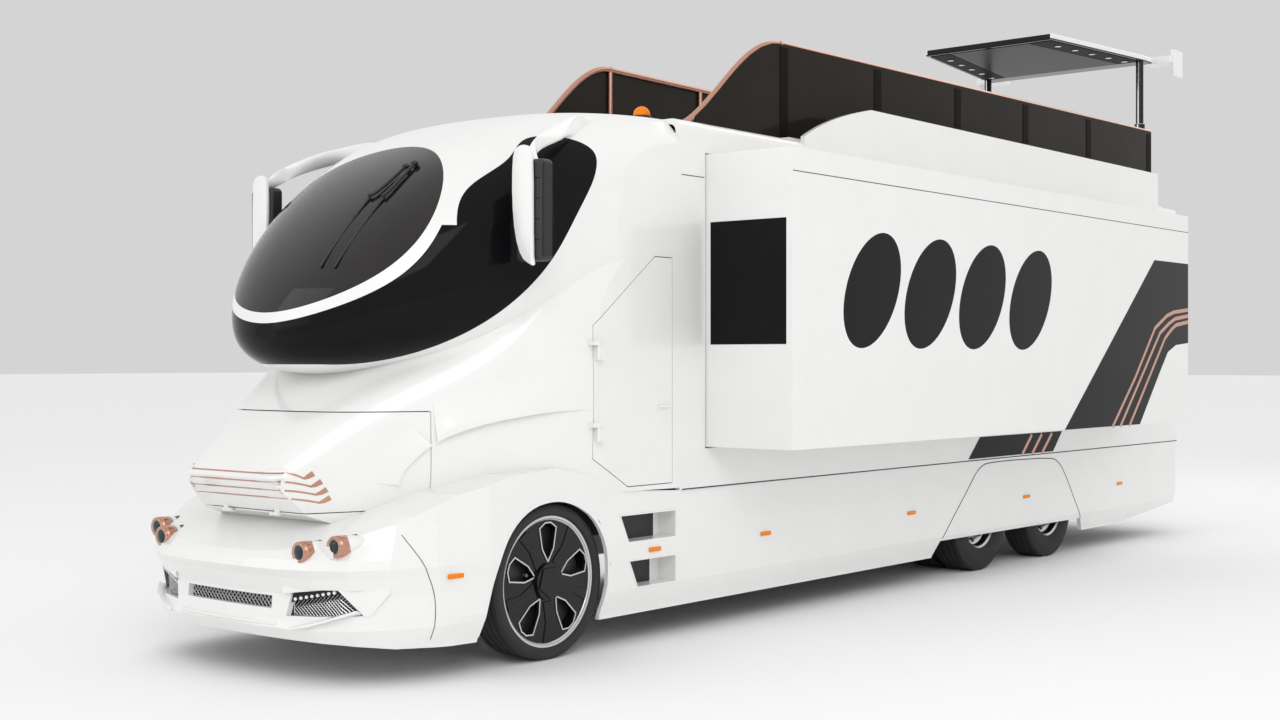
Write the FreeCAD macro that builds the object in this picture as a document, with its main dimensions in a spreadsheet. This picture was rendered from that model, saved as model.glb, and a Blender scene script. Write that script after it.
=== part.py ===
"""A three-axle luxury motorhome: bulbous glazed cab, boxy living body with a slide-out room, roof terrace.

Frame: +X forward, +Y to the vehicle's left, +Z up, millimetres. The origin lies on the ground under
the middle of the front axle.
"""

import FreeCAD
import Part
import Sketcher

import math
import os

from FreeCAD import Rotation, Vector

OUT_FOLDER = "parts"

# Driving dimensions, in millimetres, kept in the sheet under these aliases.
SIZES = {
    "half_width": 1275,
    "skirt_low": 205,
    "skirt_top": 1024,
    "roof_top": 3653,
    "seam_level": 3253,
    "wall": 40,
    "skin": 30,
    "glass": 8,
    "shut_gap": 6,
    "running_gap": 10,
    "seat_gap": 0.3,
    "bearing_gap": 0.08,
    "overrun": 60,
    # along the vehicle
    "nose_front": 1740,
    "cab_back": -1266,
    "drive_axle": -5830,
    "axle_pitch": 1410,
    "body_back": -10350,
    "tail_back": -10450,
    # chassis
    "rail_spread": 430,
    "rail_wide": 80,
    "rail_high": 280,
    "rail_front": 1150,
    "cross_wide": 100,
    "axle_height": 505,
    "axle_beam": 110,
    "kingpin_spread": 850,
    "kingpin_radius": 22,
    "steer_arm": 150,
    # wheels
    "tyre_radius": 505,
    "tyre_wide": 290,
    "rim_radius": 425,
    "wheel_spread": 1070,
    "twin_pitch": 330,
    "hub_radius": 120,
    "arch_radius": 560,
    # slide-out room
    "room_front": -1568,
    "room_back": -8745,
    "room_out": 2025,
    "room_low": 1318,
    "room_high": 3420,
    "room_inside": 130,
    # terrace
    "parapet_top": 4005,
    "parapet_front": -2835,
    "parapet_back": -9810,
    "rail_top": 4480,
    "rail_tube": 46,
    "rail_front_spread": 900,
    "rail_back_spread": 1170,
    "rail_start": -1680,
    "rail_peak": -3030,
    "canopy_level": 5330,
    "canopy_thick": 60,
    "canopy_front": -8250,
    "canopy_back": -10300,
    "canopy_drop": 700,
    "post_radius": 55,
    "post_spread": 950,
    "post_station": -10080,
    # windscreen ellipse on the slope of the cab
    "screen_x": 640,
    "screen_z": 2713,
    "screen_long": 800,
    "screen_half": 845,
    "screen_ring": 60,
    # cab interior
    "cab_floor": 1500,
    "seat_wide": 520,
    "seat_station": -300,
    "seat_spread": 560,
    "seat_long": 560,
    "seat_high": 420,
    "seat_back_high": 850,
    "seat_back_thick": 140,
    "cab_deck_half": 1200,
    "cab_deck_taper": -300,
    "cab_deck_front": 1100,
    "cab_deck_front_half": 540,
    "dash_front": 650,
    "dash_nose": 560,
    "dash_back": 480,
    "dash_top": 2040,
    "dash_half": 640,
    "wheel_rim": 220,
    "wheel_tube": 16,
    "column_radius": 30,
    "column_long": 200,
    # front end
    "front_rail_top": 850,
    "front_rail_high": 200,
    "front_rail_back": -1500,
    "bumper_station": 1090,
    "bonnet_back": 723,
    "bonnet_low": 1010,
    "bonnet_hinge_x": 1454,
    "bonnet_hinge_z": 993,
    "bonnet_hinge_y": 200,
    "tow_radius": 15,
    "tow_wall": 14,
    "tow_spread": 250,
    "tow_long": 80,
    "grille_low": 1102,
    "grille_pitch": 52,
    "grille_half": 460,
    "grille_slot": 10,
    "grille_flare": 40,
    "vent_deep": 160,
    "mesh_half": 425,
    "mesh_low": 449,
    "mesh_top": 525,
    "lamp_radius": 62,
    "lamp_long": 120,
    "lamp_inner_x": 1510,
    "lamp_inner_y": 700,
    "lamp_inner_z": 804,
    "lamp_outer_x": 1410,
    "lamp_outer_y": 900,
    "lamp_outer_z": 843,
    # running gear
    "spindle_radius": 45,
    "axle_tube": 75,
    "drive_ball": 210,
    "boss_radius": 50,
    "boss_high": 150,
    "fork_thick": 35,
    "fork_wide": 110,
    "truck_rim_radius": 300,
    "rim_thick": 18,
    "disc_thick": 22,
    "disc_setback": 35,
    "engine_front": -8900,
    "engine_back": -10000,
    "engine_low": 480,
    "engine_top": 980,
    # body
    "floor_thick": 50,
    "sill_wide": 120,
    "roof_corner": 70,
    "deck_thick": 40,
    "deck_edge": 1120,
    "well_front": -5170,
    "well_back": -7900,
    "well_top": 1200,
    "well_inside": 540,
    "cab_door_front": -350,
    "cab_door_back": -1176,
    "cab_door_low": 1085,
    "cab_door_top": 2655,
    "door_reach": 200,
    "hinge_radius": 12,
    "hinge_outside": 30,
    "hinge_long": 90,
    "entrance_front": -3300,
    "entrance_back": -4150,
    "entrance_low": 1110,
    "entrance_top": 3120,
    "side_window_front": -5000,
    "side_window_back": -8200,
    "side_window_low": 2050,
    "side_window_top": 2930,
    "rear_window_half": 850,
    # slide-out glazing
    "band_low": 2052,
    "band_top": 2931,
    "room_travel": 750,
    # mirrors
    "arm_root_x": -900,
    "arm_root_y": 880,
    "arm_root_z": 3440,
    "arm_rise_x": -650,
    "arm_rise_y": 1060,
    "arm_rise_z": 3700,
    "arm_bend_x": 300,
    "arm_bend_y": 1233,
    "arm_bend_z": 3280,
    "arm_tip_y": 1350,
    "arm_tip_z": 2560,
    "arm_deep": 62,
    "arm_thick": 26,
    "mirror_wide": 236,
    "mirror_thick": 120,
    "mirror_high": 640,
    "mirror_round": 34,
    "mirror_groove": 8,
    "fin_back": -10640,
    "fin_long": 260,
    "fin_spread": 1195,
    "fin_thick": 30,
    "fin_low": 5190,
    "fin_top": 5480,
    "inner_post_radius": 42,
}

doc = FreeCAD.newDocument("motorhome")
sheet = doc.addObject("Spreadsheet::Sheet", "Sizes")
for row, (alias, amount) in enumerate(SIZES.items(), start=1):
    sheet.set(f"A{row}", str(amount))
    sheet.setAlias(f"A{row}", alias)
doc.recompute()


class Length:
    """A length that knows its number and the expression that gives it from the sheet."""

    def __init__(self, number, text):
        self.number = number
        self.text = text

    def __float__(self):
        return float(self.number)

    def __add__(self, other):
        return Length(self.number + float(other), f"({self.text} + {words(other)})")

    def __radd__(self, other):
        return Length(float(other) + self.number, f"({words(other)} + {self.text})")

    def __sub__(self, other):
        return Length(self.number - float(other), f"({self.text} - {words(other)})")

    def __rsub__(self, other):
        return Length(float(other) - self.number, f"({words(other)} - {self.text})")

    def __mul__(self, share):
        return Length(self.number * share, f"({self.text} * {share})")

    __rmul__ = __mul__

    def __truediv__(self, share):
        return Length(self.number / share, f"({self.text} / {share})")

    def __neg__(self):
        return Length(-self.number, f"(-{self.text})")


def words(amount):
    return amount.text if isinstance(amount, Length) else str(amount)


class Sheet:
    """Each alias of the sheet as a Length."""

    def __getattr__(self, alias):
        return Length(float(sheet.get(alias)), f"Sizes.{alias}")


s = Sheet()
ZERO = 0 * s.wall
nodes = {}


def node(name, piece):
    """Names a finished sub-part, which is written to its own file."""
    piece.Label = name
    nodes[name] = piece
    return piece


def bind(piece, **amounts):
    """Ties properties of a document object to cells of the sheet."""
    for prop, amount in amounts.items():
        piece.setExpression(prop, words(amount))


def put(piece, x, y, z):
    for axis, amount in zip("xyz", (x, y, z)):
        piece.setExpression(f"Placement.Base.{axis}", words(amount))
    return piece


def box(x, y, z):
    """A block between low and high Lengths: x, y and z are (low, high) pairs."""
    block = doc.addObject("Part::Box", "Block")
    bind(block, Length=x[1] - x[0], Width=y[1] - y[0], Height=z[1] - z[0])
    return put(block, x[0], y[0], z[0])


def cylinder(radius, height, x, y, z, along="Z"):
    turn = {"Z": Rotation(), "Y": Rotation(Vector(1, 0, 0), -90), "X": Rotation(Vector(0, 1, 0), 90)}
    bar = doc.addObject("Part::Cylinder", "Bar")
    bind(bar, Radius=radius, Height=height)
    bar.Placement.Rotation = turn[along]
    return put(bar, x, y, z)


def fuse(*pieces):
    joined = doc.addObject("Part::MultiFuse", "Joined")
    joined.Shapes = list(pieces)
    return joined


def cut(base, *tools):
    for tool in tools:
        left = doc.addObject("Part::Cut", "Left")
        left.Base, left.Tool = base, tool
        base = left
    return base


def common(*pieces):
    shared = doc.addObject("Part::MultiCommon", "Shared")
    shared.Shapes = list(pieces)
    return shared


def mirrored(piece):
    """The same piece on the other side of the vehicle."""
    twin = doc.addObject("Part::Mirroring", "Mirror")
    twin.Source = piece
    twin.Normal = Vector(0, 1, 0)
    twin.Base = Vector(0, 0, 0)
    return twin


def solid(shape):
    """A shape worked out with Part's own functions, kept as a document object."""
    piece = doc.addObject("Part::Feature", "Formed")
    piece.Shape = shape
    return piece


PLANE_AXES = {
    "XY": lambda u, v, w: Vector(u, v, w),
    "XZ": lambda u, v, w: Vector(u, w, v),
    "YZ": lambda u, v, w: Vector(w, u, v),
}


def prism(plane, outline, low, high):
    """A straight block over a flat outline given in Lengths, between two levels of the plane's normal."""
    spot = PLANE_AXES[plane]
    corners = [spot(float(u), float(v), float(low)) for u, v in outline]
    face = Part.Face(Part.makePolygon(corners + corners[:1]))
    travel = spot(0, 0, float(high) - float(low))
    return solid(face.extrude(travel))


def smooth_prism(plane, curves, low, high):
    """As prism, but each item of curves is a list of points: two make a line, more a smooth curve."""
    spot = PLANE_AXES[plane]
    edges = []
    for points in curves:
        spots = [spot(float(u), float(v), float(low)) for u, v in points]
        if len(spots) == 2:
            edges.append(Part.LineSegment(*spots).toShape())
        else:
            line = Part.BSplineCurve()
            line.interpolate(spots)
            edges.append(line.toShape())
    face = Part.Face(Part.Wire(edges))
    return solid(face.extrude(spot(0, 0, float(high) - float(low))))


# Cab: sections across the vehicle, as superellipses

SECTION_POINTS = 24


def section(x, half, high, low, power):
    """A closed smooth section across the vehicle: a superellipse between two levels."""
    middle, rise = (high + low) / 2, (high - low) / 2
    spots = []
    for step in range(SECTION_POINTS):
        angle = 2 * math.pi * (step + 0.5) / SECTION_POINTS
        across, up = (math.copysign(abs(w) ** (2 / power), w) for w in (math.cos(angle), math.sin(angle)))
        spots.append(Vector(x, half * across, middle + rise * up))
    line = Part.BSplineCurve()
    line.interpolate(spots, PeriodicFlag=True)
    return Part.Wire(line.toShape())


def skinned(rows, inset):
    """A solid through sections; each row is x, half width, top, bottom and power. Inset shrinks it all round."""
    nose = rows[0][0]
    wires = []
    for x, half, high, low, power in rows:
        wires.append(section(x - inset if x == nose else x, half - inset, high - inset, low + inset, power))
    return Part.makeLoft(wires, True, False)


def stations(shares):
    """Sections in real sizes from shares of the nose's reach, the half width and the roof's height."""
    reach, half, top = float(s.nose_front), float(s.half_width), float(s.roof_top)
    back = float(s.cab_back)
    rows = []
    for forward, wide, high, low, power in shares:
        x = forward * reach if forward > 0 else -forward * back
        rows.append((x, wide * half, high * top, low * top, power))
    return rows


# Rows run from the nose backwards. First column: share of the nose's reach ahead of the axle, or minus
# the share of the way back to the cab's rear. Then half width, top and bottom as shares of the half
# width and roof height, and the section's power.
POD_SHARES = [
    (0.770, 0.080, 0.595, 0.567, 2.0),
    (0.690, 0.425, 0.690, 0.520, 2.2),
    (0.460, 0.715, 0.816, 0.506, 2.5),
    (0.230, 0.850, 0.899, 0.516, 2.8),
    (-0.118, 0.950, 0.975, 0.550, 3.3),
    (-0.474, 1.000, 1.010, 0.580, 3.8),
    (-1.000, 1.030, 1.030, 0.600, 4.4),
]
LOWER_SHARES = [
    (0.943, 0.340, 0.352, 0.252, 4.0),
    (0.718, 0.475, 0.445, 0.225, 4.0),
    (0.402, 0.680, 0.550, 0.225, 4.0),
    (0.201, 0.820, 0.616, 0.215, 4.0),
    (-0.001, 0.935, 0.700, 0.205, 4.2),
    (-0.400, 1.010, 0.820, 0.185, 4.8),
    (-1.000, 1.040, 0.880, 0.175, 5.5),
]
# The underside of the cab from the rear forwards, over the front wheels: side-view shares.
BELLY_SHARES = [(-0.20, 0.2815), (-0.06, 0.2880), (-0.04, 0.2980), (0.0001, 0.3100), (0.20, 0.2980), (0.40, 0.2650),
                (0.64, 0.2420), (0.82, 0.2720), (0.905, 0.3150), (1.10, 0.4200)]


def tail_spot(forward, high):
    """A point seen from the side; shares of the nose's or tail's reach, and of the roof's height."""
    reach = float(s.nose_front) if forward > 0 else -float(s.tail_back)
    return forward * reach, high * float(s.roof_top)


def cab_masses(inset):
    """The upper pod and the lower cab as two solids, shrunk by the inset."""
    reach = 2 * float(s.nose_front)
    half, top = float(s.half_width) - inset, float(s.roof_top) - inset
    limit = slab(Vector(-reach, -half, 0), Vector(reach, half, top))
    belly = [Vector(x, -reach, z + inset) for x, z in (tail_spot(*pair) for pair in BELLY_SHARES)]
    belly += [Vector(belly[-1].x, -reach, reach), Vector(belly[0].x, -reach, reach)]
    above = Part.Face(Part.makePolygon(belly + belly[:1])).extrude(Vector(0, 2 * reach, 0))
    pod = skinned(stations(POD_SHARES), inset).common(limit)
    lower = skinned(stations(LOWER_SHARES), inset).common(limit).common(above)
    return pod, lower


def screen_prism(grow):
    """An ellipse on the windscreen's slope, drawn out along its normal through the pod's front skin."""
    normal = Vector(math.sin(SCREEN_SLOPE), 0, math.cos(SCREEN_SLOPE))
    down = Vector(math.cos(SCREEN_SLOPE), 0, -math.sin(SCREEN_SLOPE))
    start = Vector(float(s.screen_x), 0, float(s.screen_z)) - normal * float(s.screen_long) / 4
    long, half = float(s.screen_long) + grow, float(s.screen_half) + grow
    ring = Part.Ellipse(start + Vector(0, 1, 0) * half, start + down * long, start)
    face = Part.Face(Part.Wire(ring.toShape()))
    return face.extrude(normal * float(s.screen_long) * 2)


SCREEN_SLOPE = math.radians(50.6)

# Side glass outline seen from the side: x as shares of the nose's reach (negative: of the way back to
# the cab's rear), z as shares of the roof's height.
GLASS_LOW_SHARES = [
    (0.90, 0.524), (0.66, 0.524), (0.48, 0.534), (0.29, 0.576), (0.126, 0.636), (-0.04, 0.716),
    (-0.20, 0.800), (-0.33, 0.880), (-0.345, 0.912), (-0.225, 0.938), (-0.05, 0.932), (0.075, 0.892),
    (0.276, 0.824), (0.345, 0.764),
]
DIVIDER_SHARES = [(0.60, 0.640), (0.475, 0.530)]


def side_spot(forward, high):
    reach = float(s.nose_front) if forward > 0 else -float(s.cab_back)
    return forward * reach, high * float(s.roof_top)


def glass_prism():
    """The black glazing's outline through the whole width."""
    spots = [Vector(x, -2 * float(s.half_width), z) for x, z in (side_spot(*p) for p in GLASS_LOW_SHARES)]
    front_top = Vector(spots[0].x, spots[0].y, spots[-1].z)
    line = Part.BSplineCurve()
    line.interpolate(spots[1:])
    edges = [
        Part.LineSegment(spots[0], spots[1]).toShape(),
        line.toShape(),
        Part.LineSegment(spots[-1], front_top).toShape(),
        Part.LineSegment(front_top, spots[0]).toShape(),
    ]
    return Part.Face(Part.Wire(edges)).extrude(Vector(0, 4 * float(s.half_width), 0))


def slab(low, high):
    """A plain block between two corners."""
    size = high - low
    return Part.makeBox(size.x, size.y, size.z, low)


def door_area(grow):
    """The cab door's outline from the side, beyond the door's inner limit on the left; grow widens it."""
    reach = float(s.cab_door_top - s.cab_door_low)
    front, back = float(s.cab_door_front), float(s.cab_door_back)
    corners = [
        (back, float(s.cab_door_low)), (front - (front - back) * DOOR_HEEL_SHARE, float(s.cab_door_low)),
        (front, float(s.cab_door_low) + reach * DOOR_TOE_SHARE),
        (front, float(s.cab_door_low) + reach * DOOR_SHOULDER_SHARE),
        (front - (front - back) * DOOR_CHAMFER_SHARE, float(s.cab_door_top)), (back, float(s.cab_door_top)),
    ]
    start = float(s.half_width - s.door_reach)
    wire = Part.makePolygon([Vector(x, start, z) for x, z in corners + corners[:1]])
    if grow:
        wire = wire.makeOffset2D(grow, 2)
    return Part.Face(wire).extrude(Vector(0, float(s.half_width), 0))


DOOR_HEEL_SHARE = 0.42
DOOR_TOE_SHARE = 0.13
DOOR_SHOULDER_SHARE = 0.69
DOOR_CHAMFER_SHARE = 0.77
BONNET_RISE_SHARE = 0.6


def bonnet_area(grow):
    """The front flap's block: everything ahead of its rear edge and above its low edge."""
    reach, low = 2 * float(s.nose_front), float(s.bonnet_low)
    return slab(Vector(float(s.bonnet_back) - grow, -reach, low - grow),
                Vector(reach, reach, low * (1 + BONNET_RISE_SHARE) + grow))


GRILLE_FLARE_SHARE = 0.62
GRILLE_GAPS = 4


def grille_slots():
    """The long gaps between the grille's slats, each flaring into a wedge at both ends."""
    half, knee = float(s.grille_half), float(s.grille_half) * GRILLE_FLARE_SHARE
    thin, tall = float(s.grille_slot) / 2, float(s.grille_flare) / 2
    side = [(half, tall), (knee, thin), (-knee, thin), (-half, tall)]
    side += [(y, -z) for y, z in reversed(side)]
    behind, reach = float(s.bumper_station), float(s.nose_front)
    slots = []
    for number in range(GRILLE_GAPS):
        level = float(s.grille_low) + float(s.grille_pitch) * number
        corners = [Vector(behind, y, level + z) for y, z in side]
        slots.append(Part.Face(Part.makePolygon(corners + corners[:1])).extrude(Vector(reach, 0, 0)))
    return slots


def divider_half():
    """Everything ahead of the slanted line that parts the front glass from the side glass."""
    top, foot = (side_spot(*pair) for pair in DIVIDER_SHARES)
    slope = (top[0] - foot[0]) / (top[1] - foot[1])
    reach, far = float(s.roof_top), 4 * float(s.half_width)
    low, high = foot[1] - reach, top[1] + reach
    corners = [
        Vector(foot[0] - slope * reach, -far, low), Vector(top[0] + slope * reach, -far, high),
        Vector(top[0] + slope * reach + reach, -far, high), Vector(foot[0] - slope * reach + reach, -far, low),
    ]
    return Part.Face(Part.makePolygon(corners + corners[:1])).extrude(Vector(0, 2 * far, 0))


def build_cab():
    """The cab's skin and what is parted from it: glass, screen ring, door and front flap."""
    gap = float(s.shut_gap)
    pod, lower = cab_masses(0)
    pod_in, lower_in = cab_masses(float(s.skin))
    outer, inner = pod.fuse(lower), pod_in.fuse(lower_in)
    screen, ring, glazing = screen_prism(0), screen_prism(float(s.screen_ring)), glass_prism()
    shell = outer.cut(ring).cut(glazing).cut(door_area(gap)).cut(bonnet_area(gap)).cut(inner)
    windscreen = pod.common(screen).cut(pod_in)
    ring_piece = pod.common(ring).cut(screen).cut(pod_in)
    dark = pod.common(glazing).cut(ring).cut(lower).cut(pod_in)
    ahead = divider_half()
    return {
        "shell": shell,
        "windscreen": windscreen,
        "ring": ring_piece,
        "band": dark.common(ahead),
        "side": dark.cut(ahead),
        "door": outer.common(door_area(0)).cut(inner),
        "bonnet": outer.common(bonnet_area(0)).cut(inner).cut(grille_slots()),
    }


def both_sides(piece):
    """A piece with its mirror image across the vehicle."""
    return fuse(piece, mirrored(piece))


def outline(shares):
    return [tail_spot(*pair) for pair in shares]


big = 4 * s.half_width
gap = s.seat_gap
cab = build_cab()
lower_grown = solid(cab_masses(-float(gap))[1])
pod_grown = solid(cab_masses(-float(gap))[0])
pod_shrunk = solid(cab_masses(float(s.skin + gap))[0])
lower_shrunk = solid(cab_masses(float(s.skin + gap))[1])


# Chassis: two long rails, dropped at the front under the cab, with cross members and axle blocks

rail_in = s.rail_spread - s.rail_wide / 2
rail_out = s.rail_spread + s.rail_wide / 2
rail_top = s.skirt_top - gap
tag_axle = s.drive_axle - s.axle_pitch
back_rail = box((s.tail_back + 4 * s.wall, s.front_rail_back + s.cross_wide), (rail_in, rail_out),
                (rail_top - s.rail_high, rail_top))
front_rail = box((s.front_rail_back, s.rail_front), (rail_in, rail_out),
                 (s.front_rail_top - s.front_rail_high, s.front_rail_top))
joining = box((s.front_rail_back, s.front_rail_back + s.cross_wide), (rail_in, rail_out),
              (s.front_rail_top - s.front_rail_high, rail_top))
beam_top = s.axle_height + s.axle_beam / 2
low_beam = rail_top - s.rail_high


def axle_block(x, low, high):
    """A spring block that stands on an axle under the rail."""
    return box((x - s.cross_wide, x + s.cross_wide), (rail_in, rail_out), (low, high))


def cross(x, low, high):
    return box((x, x + s.cross_wide), (-rail_out, rail_out), (low, high))


rails = both_sides(fuse(
    back_rail, front_rail, joining,
    axle_block(ZERO, beam_top + gap, s.front_rail_top),
    axle_block(s.drive_axle, s.axle_height + s.axle_tube, low_beam + s.wall),
    axle_block(tag_axle, s.axle_height + s.axle_tube, low_beam + s.wall),
    box((s.cab_back + s.cross_wide, s.cab_back + 3 * s.cross_wide), (rail_in, rail_out),
        (s.front_rail_top - s.wall, s.bonnet_low + 2 * s.wall)),
))
members = fuse(
    cross(s.rail_front - s.cross_wide, s.front_rail_top - s.front_rail_high, s.front_rail_top),
    cross(s.front_rail_back, s.front_rail_top - s.front_rail_high, s.front_rail_top),
    cross(s.drive_axle / 2, low_beam, rail_top - s.wall),
    cross(s.drive_axle + 4 * s.cross_wide, low_beam + s.cross_wide, rail_top - s.wall),
    cross(tag_axle - 6 * s.cross_wide, low_beam, rail_top - s.wall),
    cross(s.tail_back + 4 * s.wall, low_beam, rail_top - s.wall),
)
axle_seats = fuse(
    cylinder(s.axle_tube + gap, big, s.drive_axle, -big / 2, s.axle_height, "Y"),
    cylinder(s.axle_tube + gap, big, tag_axle, -big / 2, s.axle_height, "Y"),
)
tow_level = (s.mesh_low + s.mesh_top) / 2
tow_socket = both_sides(fuse(
    cylinder(s.tow_radius + s.tow_wall, s.tow_long, s.rail_front - s.tow_long, s.tow_spread, tow_level, "X"),
    box((s.rail_front - s.tow_long, s.rail_front - s.tow_wall), (s.tow_spread - s.tow_wall, s.tow_spread + s.tow_wall),
        (tow_level, s.front_rail_top - s.front_rail_high + s.wall)),
))
tow_bore = both_sides(cylinder(s.tow_radius, 2 * s.tow_long, s.rail_front - s.tow_long - s.tow_wall, s.tow_spread, tow_level, "X"))
node("chassis_frame", cut(fuse(rails, members, tow_socket), lower_grown, axle_seats, tow_bore))

node("engine_block", box((s.engine_back, s.engine_front), (-rail_in + gap, rail_in - gap), (s.engine_low, s.engine_top)))


# Axles

spindle_end = s.wheel_spread + s.overrun
node("front_axle_beam", cut(
    fuse(
        box((-s.axle_beam / 2, s.axle_beam / 2), (-s.kingpin_spread, s.kingpin_spread),
            (s.axle_height - s.axle_beam / 2, beam_top)),
        both_sides(cylinder(s.boss_radius, s.boss_high, ZERO, s.kingpin_spread, s.axle_height - s.boss_high / 2)),
    ),
    both_sides(cylinder(s.kingpin_radius + s.bearing_gap, 2 * s.boss_high, ZERO, s.kingpin_spread,
                        s.axle_height - s.boss_high)),
))
axle_half = s.wheel_spread - s.twin_pitch - s.tyre_wide / 2 - s.running_gap
for name, x, inward in (("drive_axle", s.drive_axle, axle_half), ("tag_axle", tag_axle, axle_half)):
    tube = cylinder(s.axle_tube, 2 * inward, x, -inward, s.axle_height, "Y")
    spindle = cylinder(s.spindle_radius, 2 * spindle_end, x, -spindle_end, s.axle_height, "Y")
    pieces = [tube, spindle]
    if name == "drive_axle":
        ball = doc.addObject("Part::Sphere", "Ball")
        bind(ball, Radius=s.drive_ball)
        pieces.append(put(ball, x, ZERO, s.axle_height))
    node(name, fuse(*pieces))

fork_low = s.axle_height - s.boss_high / 2 - s.shut_gap
fork_high = s.axle_height + s.boss_high / 2 + s.shut_gap
fork_foot = s.kingpin_spread + s.boss_radius + s.shut_gap
fork = fuse(
    box((-s.fork_wide / 2, s.fork_wide / 2), (s.kingpin_spread - s.boss_radius, fork_foot + s.fork_thick),
        (fork_high, fork_high + s.fork_thick)),
    box((-s.fork_wide / 2, s.fork_wide / 2), (s.kingpin_spread - s.boss_radius, fork_foot + s.fork_thick),
        (fork_low - s.fork_thick, fork_low)),
    box((-s.fork_wide / 2, s.fork_wide / 2), (fork_foot, fork_foot + s.fork_thick),
        (fork_low - s.fork_thick, fork_high + s.fork_thick)),
    cylinder(s.kingpin_radius, fork_high - fork_low + s.fork_thick, ZERO, s.kingpin_spread,
             fork_low - s.fork_thick / 2),
    cylinder(s.spindle_radius, spindle_end - fork_foot, ZERO, fork_foot, s.axle_height, "Y"),
    box((-s.fork_wide / 2 - s.steer_arm, -s.fork_wide / 4), (s.kingpin_spread - s.boss_radius, s.kingpin_spread),
        (fork_low - s.fork_thick, fork_low)),
)
node("knuckle_left", fork)
node("knuckle_right", mirrored(fork))


# Wheels

def turned(profile, x, y):
    """A ring turned about the wheel's axis at x; profile pairs are radius and offset outwards from y."""
    corners = [Vector(float(x), float(y) + float(v), float(s.axle_height) + float(u)) for u, v in profile]
    face = Part.Face(Part.makePolygon(corners + corners[:1]))
    centre = Vector(float(x), 0, float(s.axle_height))
    return solid(face.revolve(centre, Vector(0, 1, 0), 360))


def tyre(x, y, inner):
    """A tyre with rounded shoulders on a rim of the inner radius."""
    half = s.tyre_wide / 2
    depth = s.tyre_radius - inner
    return turned([
        (inner, -0.82 * half), (inner + 0.35 * depth, -half), (inner + 0.8 * depth, -0.97 * half),
        (s.tyre_radius, -0.84 * half), (s.tyre_radius, 0.84 * half), (inner + 0.8 * depth, 0.97 * half),
        (inner + 0.35 * depth, half), (inner, 0.82 * half),
    ], x, y)


def rim(x, y, outer, disc_out):
    """A barrel under the tyre, a disc near its outer face and a bored hub."""
    half = s.tyre_wide / 2
    barrel = turned([
        (outer - gap, -0.82 * half), (outer - gap, 0.82 * half),
        (outer - s.rim_thick, 0.82 * half), (outer - s.rim_thick, -0.82 * half),
    ], x, y)
    disc = cylinder(outer - s.rim_thick / 2, s.disc_thick, x, y + disc_out - s.disc_thick, s.axle_height, "Y")
    return fuse(barrel, disc)


KITE_SHARES = [(0.30, 0.0), (0.50, -0.20), (0.82, -0.30), (0.90, -0.10), (0.90, 0.10), (0.82, 0.30), (0.50, 0.20)]
KITE_COUNT = 5


def kites(x, y):
    """Five kite-shaped windows through the front rim's disc."""
    windows = []
    for turn in range(KITE_COUNT):
        angle = 2 * math.pi * (turn + 0.25) / KITE_COUNT
        corners = []
        for radial, across in KITE_SHARES:
            u, v = radial * float(s.rim_radius), across * float(s.rim_radius) * KITE_SLIM_SHARE
            corners.append((float(x) + u * math.cos(angle) - v * math.sin(angle),
                            float(s.axle_height) + u * math.sin(angle) + v * math.cos(angle)))
        windows.append(prism("XZ", corners, y - s.tyre_wide, y + s.tyre_wide))
    return windows


KITE_SLIM_SHARE = 0.62
half_tyre = s.tyre_wide / 2
hub_out = s.wheel_spread + half_tyre - s.running_gap
front_hub = cylinder(s.hub_radius, hub_out - (fork_foot + s.fork_thick + s.shut_gap), ZERO,
                     fork_foot + s.fork_thick + s.shut_gap, s.axle_height, "Y")
front_rim = rim(ZERO, s.wheel_spread, s.rim_radius, half_tyre - s.disc_setback)
front_bore = cylinder(s.spindle_radius + s.bearing_gap, spindle_end - ZERO + gap, ZERO, ZERO, s.axle_height, "Y")
wheel = cut(fuse(cut(front_rim, *kites(ZERO, s.wheel_spread)), front_hub), front_bore)
node("front_wheel_left", wheel)
node("front_wheel_right", mirrored(wheel))
front_tyre = tyre(ZERO, s.wheel_spread, s.rim_radius)
node("front_tyre_left", front_tyre)
node("front_tyre_right", mirrored(front_tyre))


def rear_wheel(x, offsets):
    """One or two truck wheels on a common hub, with their tyres."""
    hub_in = s.wheel_spread + offsets[0] - half_tyre
    pieces = [cylinder(s.hub_radius, spindle_end + s.wall - hub_in, x, hub_in, s.axle_height, "Y")]
    for offset in offsets:
        pieces.append(tyre(x, s.wheel_spread + offset, s.truck_rim_radius))
        pieces.append(rim(x, s.wheel_spread + offset, s.truck_rim_radius + s.wall / 8, s.disc_thick))
    bore = cylinder(s.spindle_radius + s.bearing_gap, spindle_end + gap, x, ZERO, s.axle_height, "Y")
    return cut(fuse(*pieces), bore)


twin = rear_wheel(s.drive_axle, [-s.twin_pitch, ZERO])
single = rear_wheel(tag_axle, [ZERO])
node("drive_wheels_left", twin)
node("drive_wheels_right", mirrored(twin))
node("tag_wheel_left", single)
node("tag_wheel_right", mirrored(single))


# Lower ring: bumper, fenders, skirts, wheel spats and tail, cut from one shape

RING_PLAN_SHARES = [
    (-1.0, 0.0), (-1.0, 0.90), (-0.996, 0.965), (-0.986, 1.0), (0.345, 1.0), (0.575, 0.965), (0.747, 0.885),
    (0.862, 0.765), (0.938, 0.608), (0.978, 0.431), (0.996, 0.235), (1.0, 0.0),
]
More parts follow.
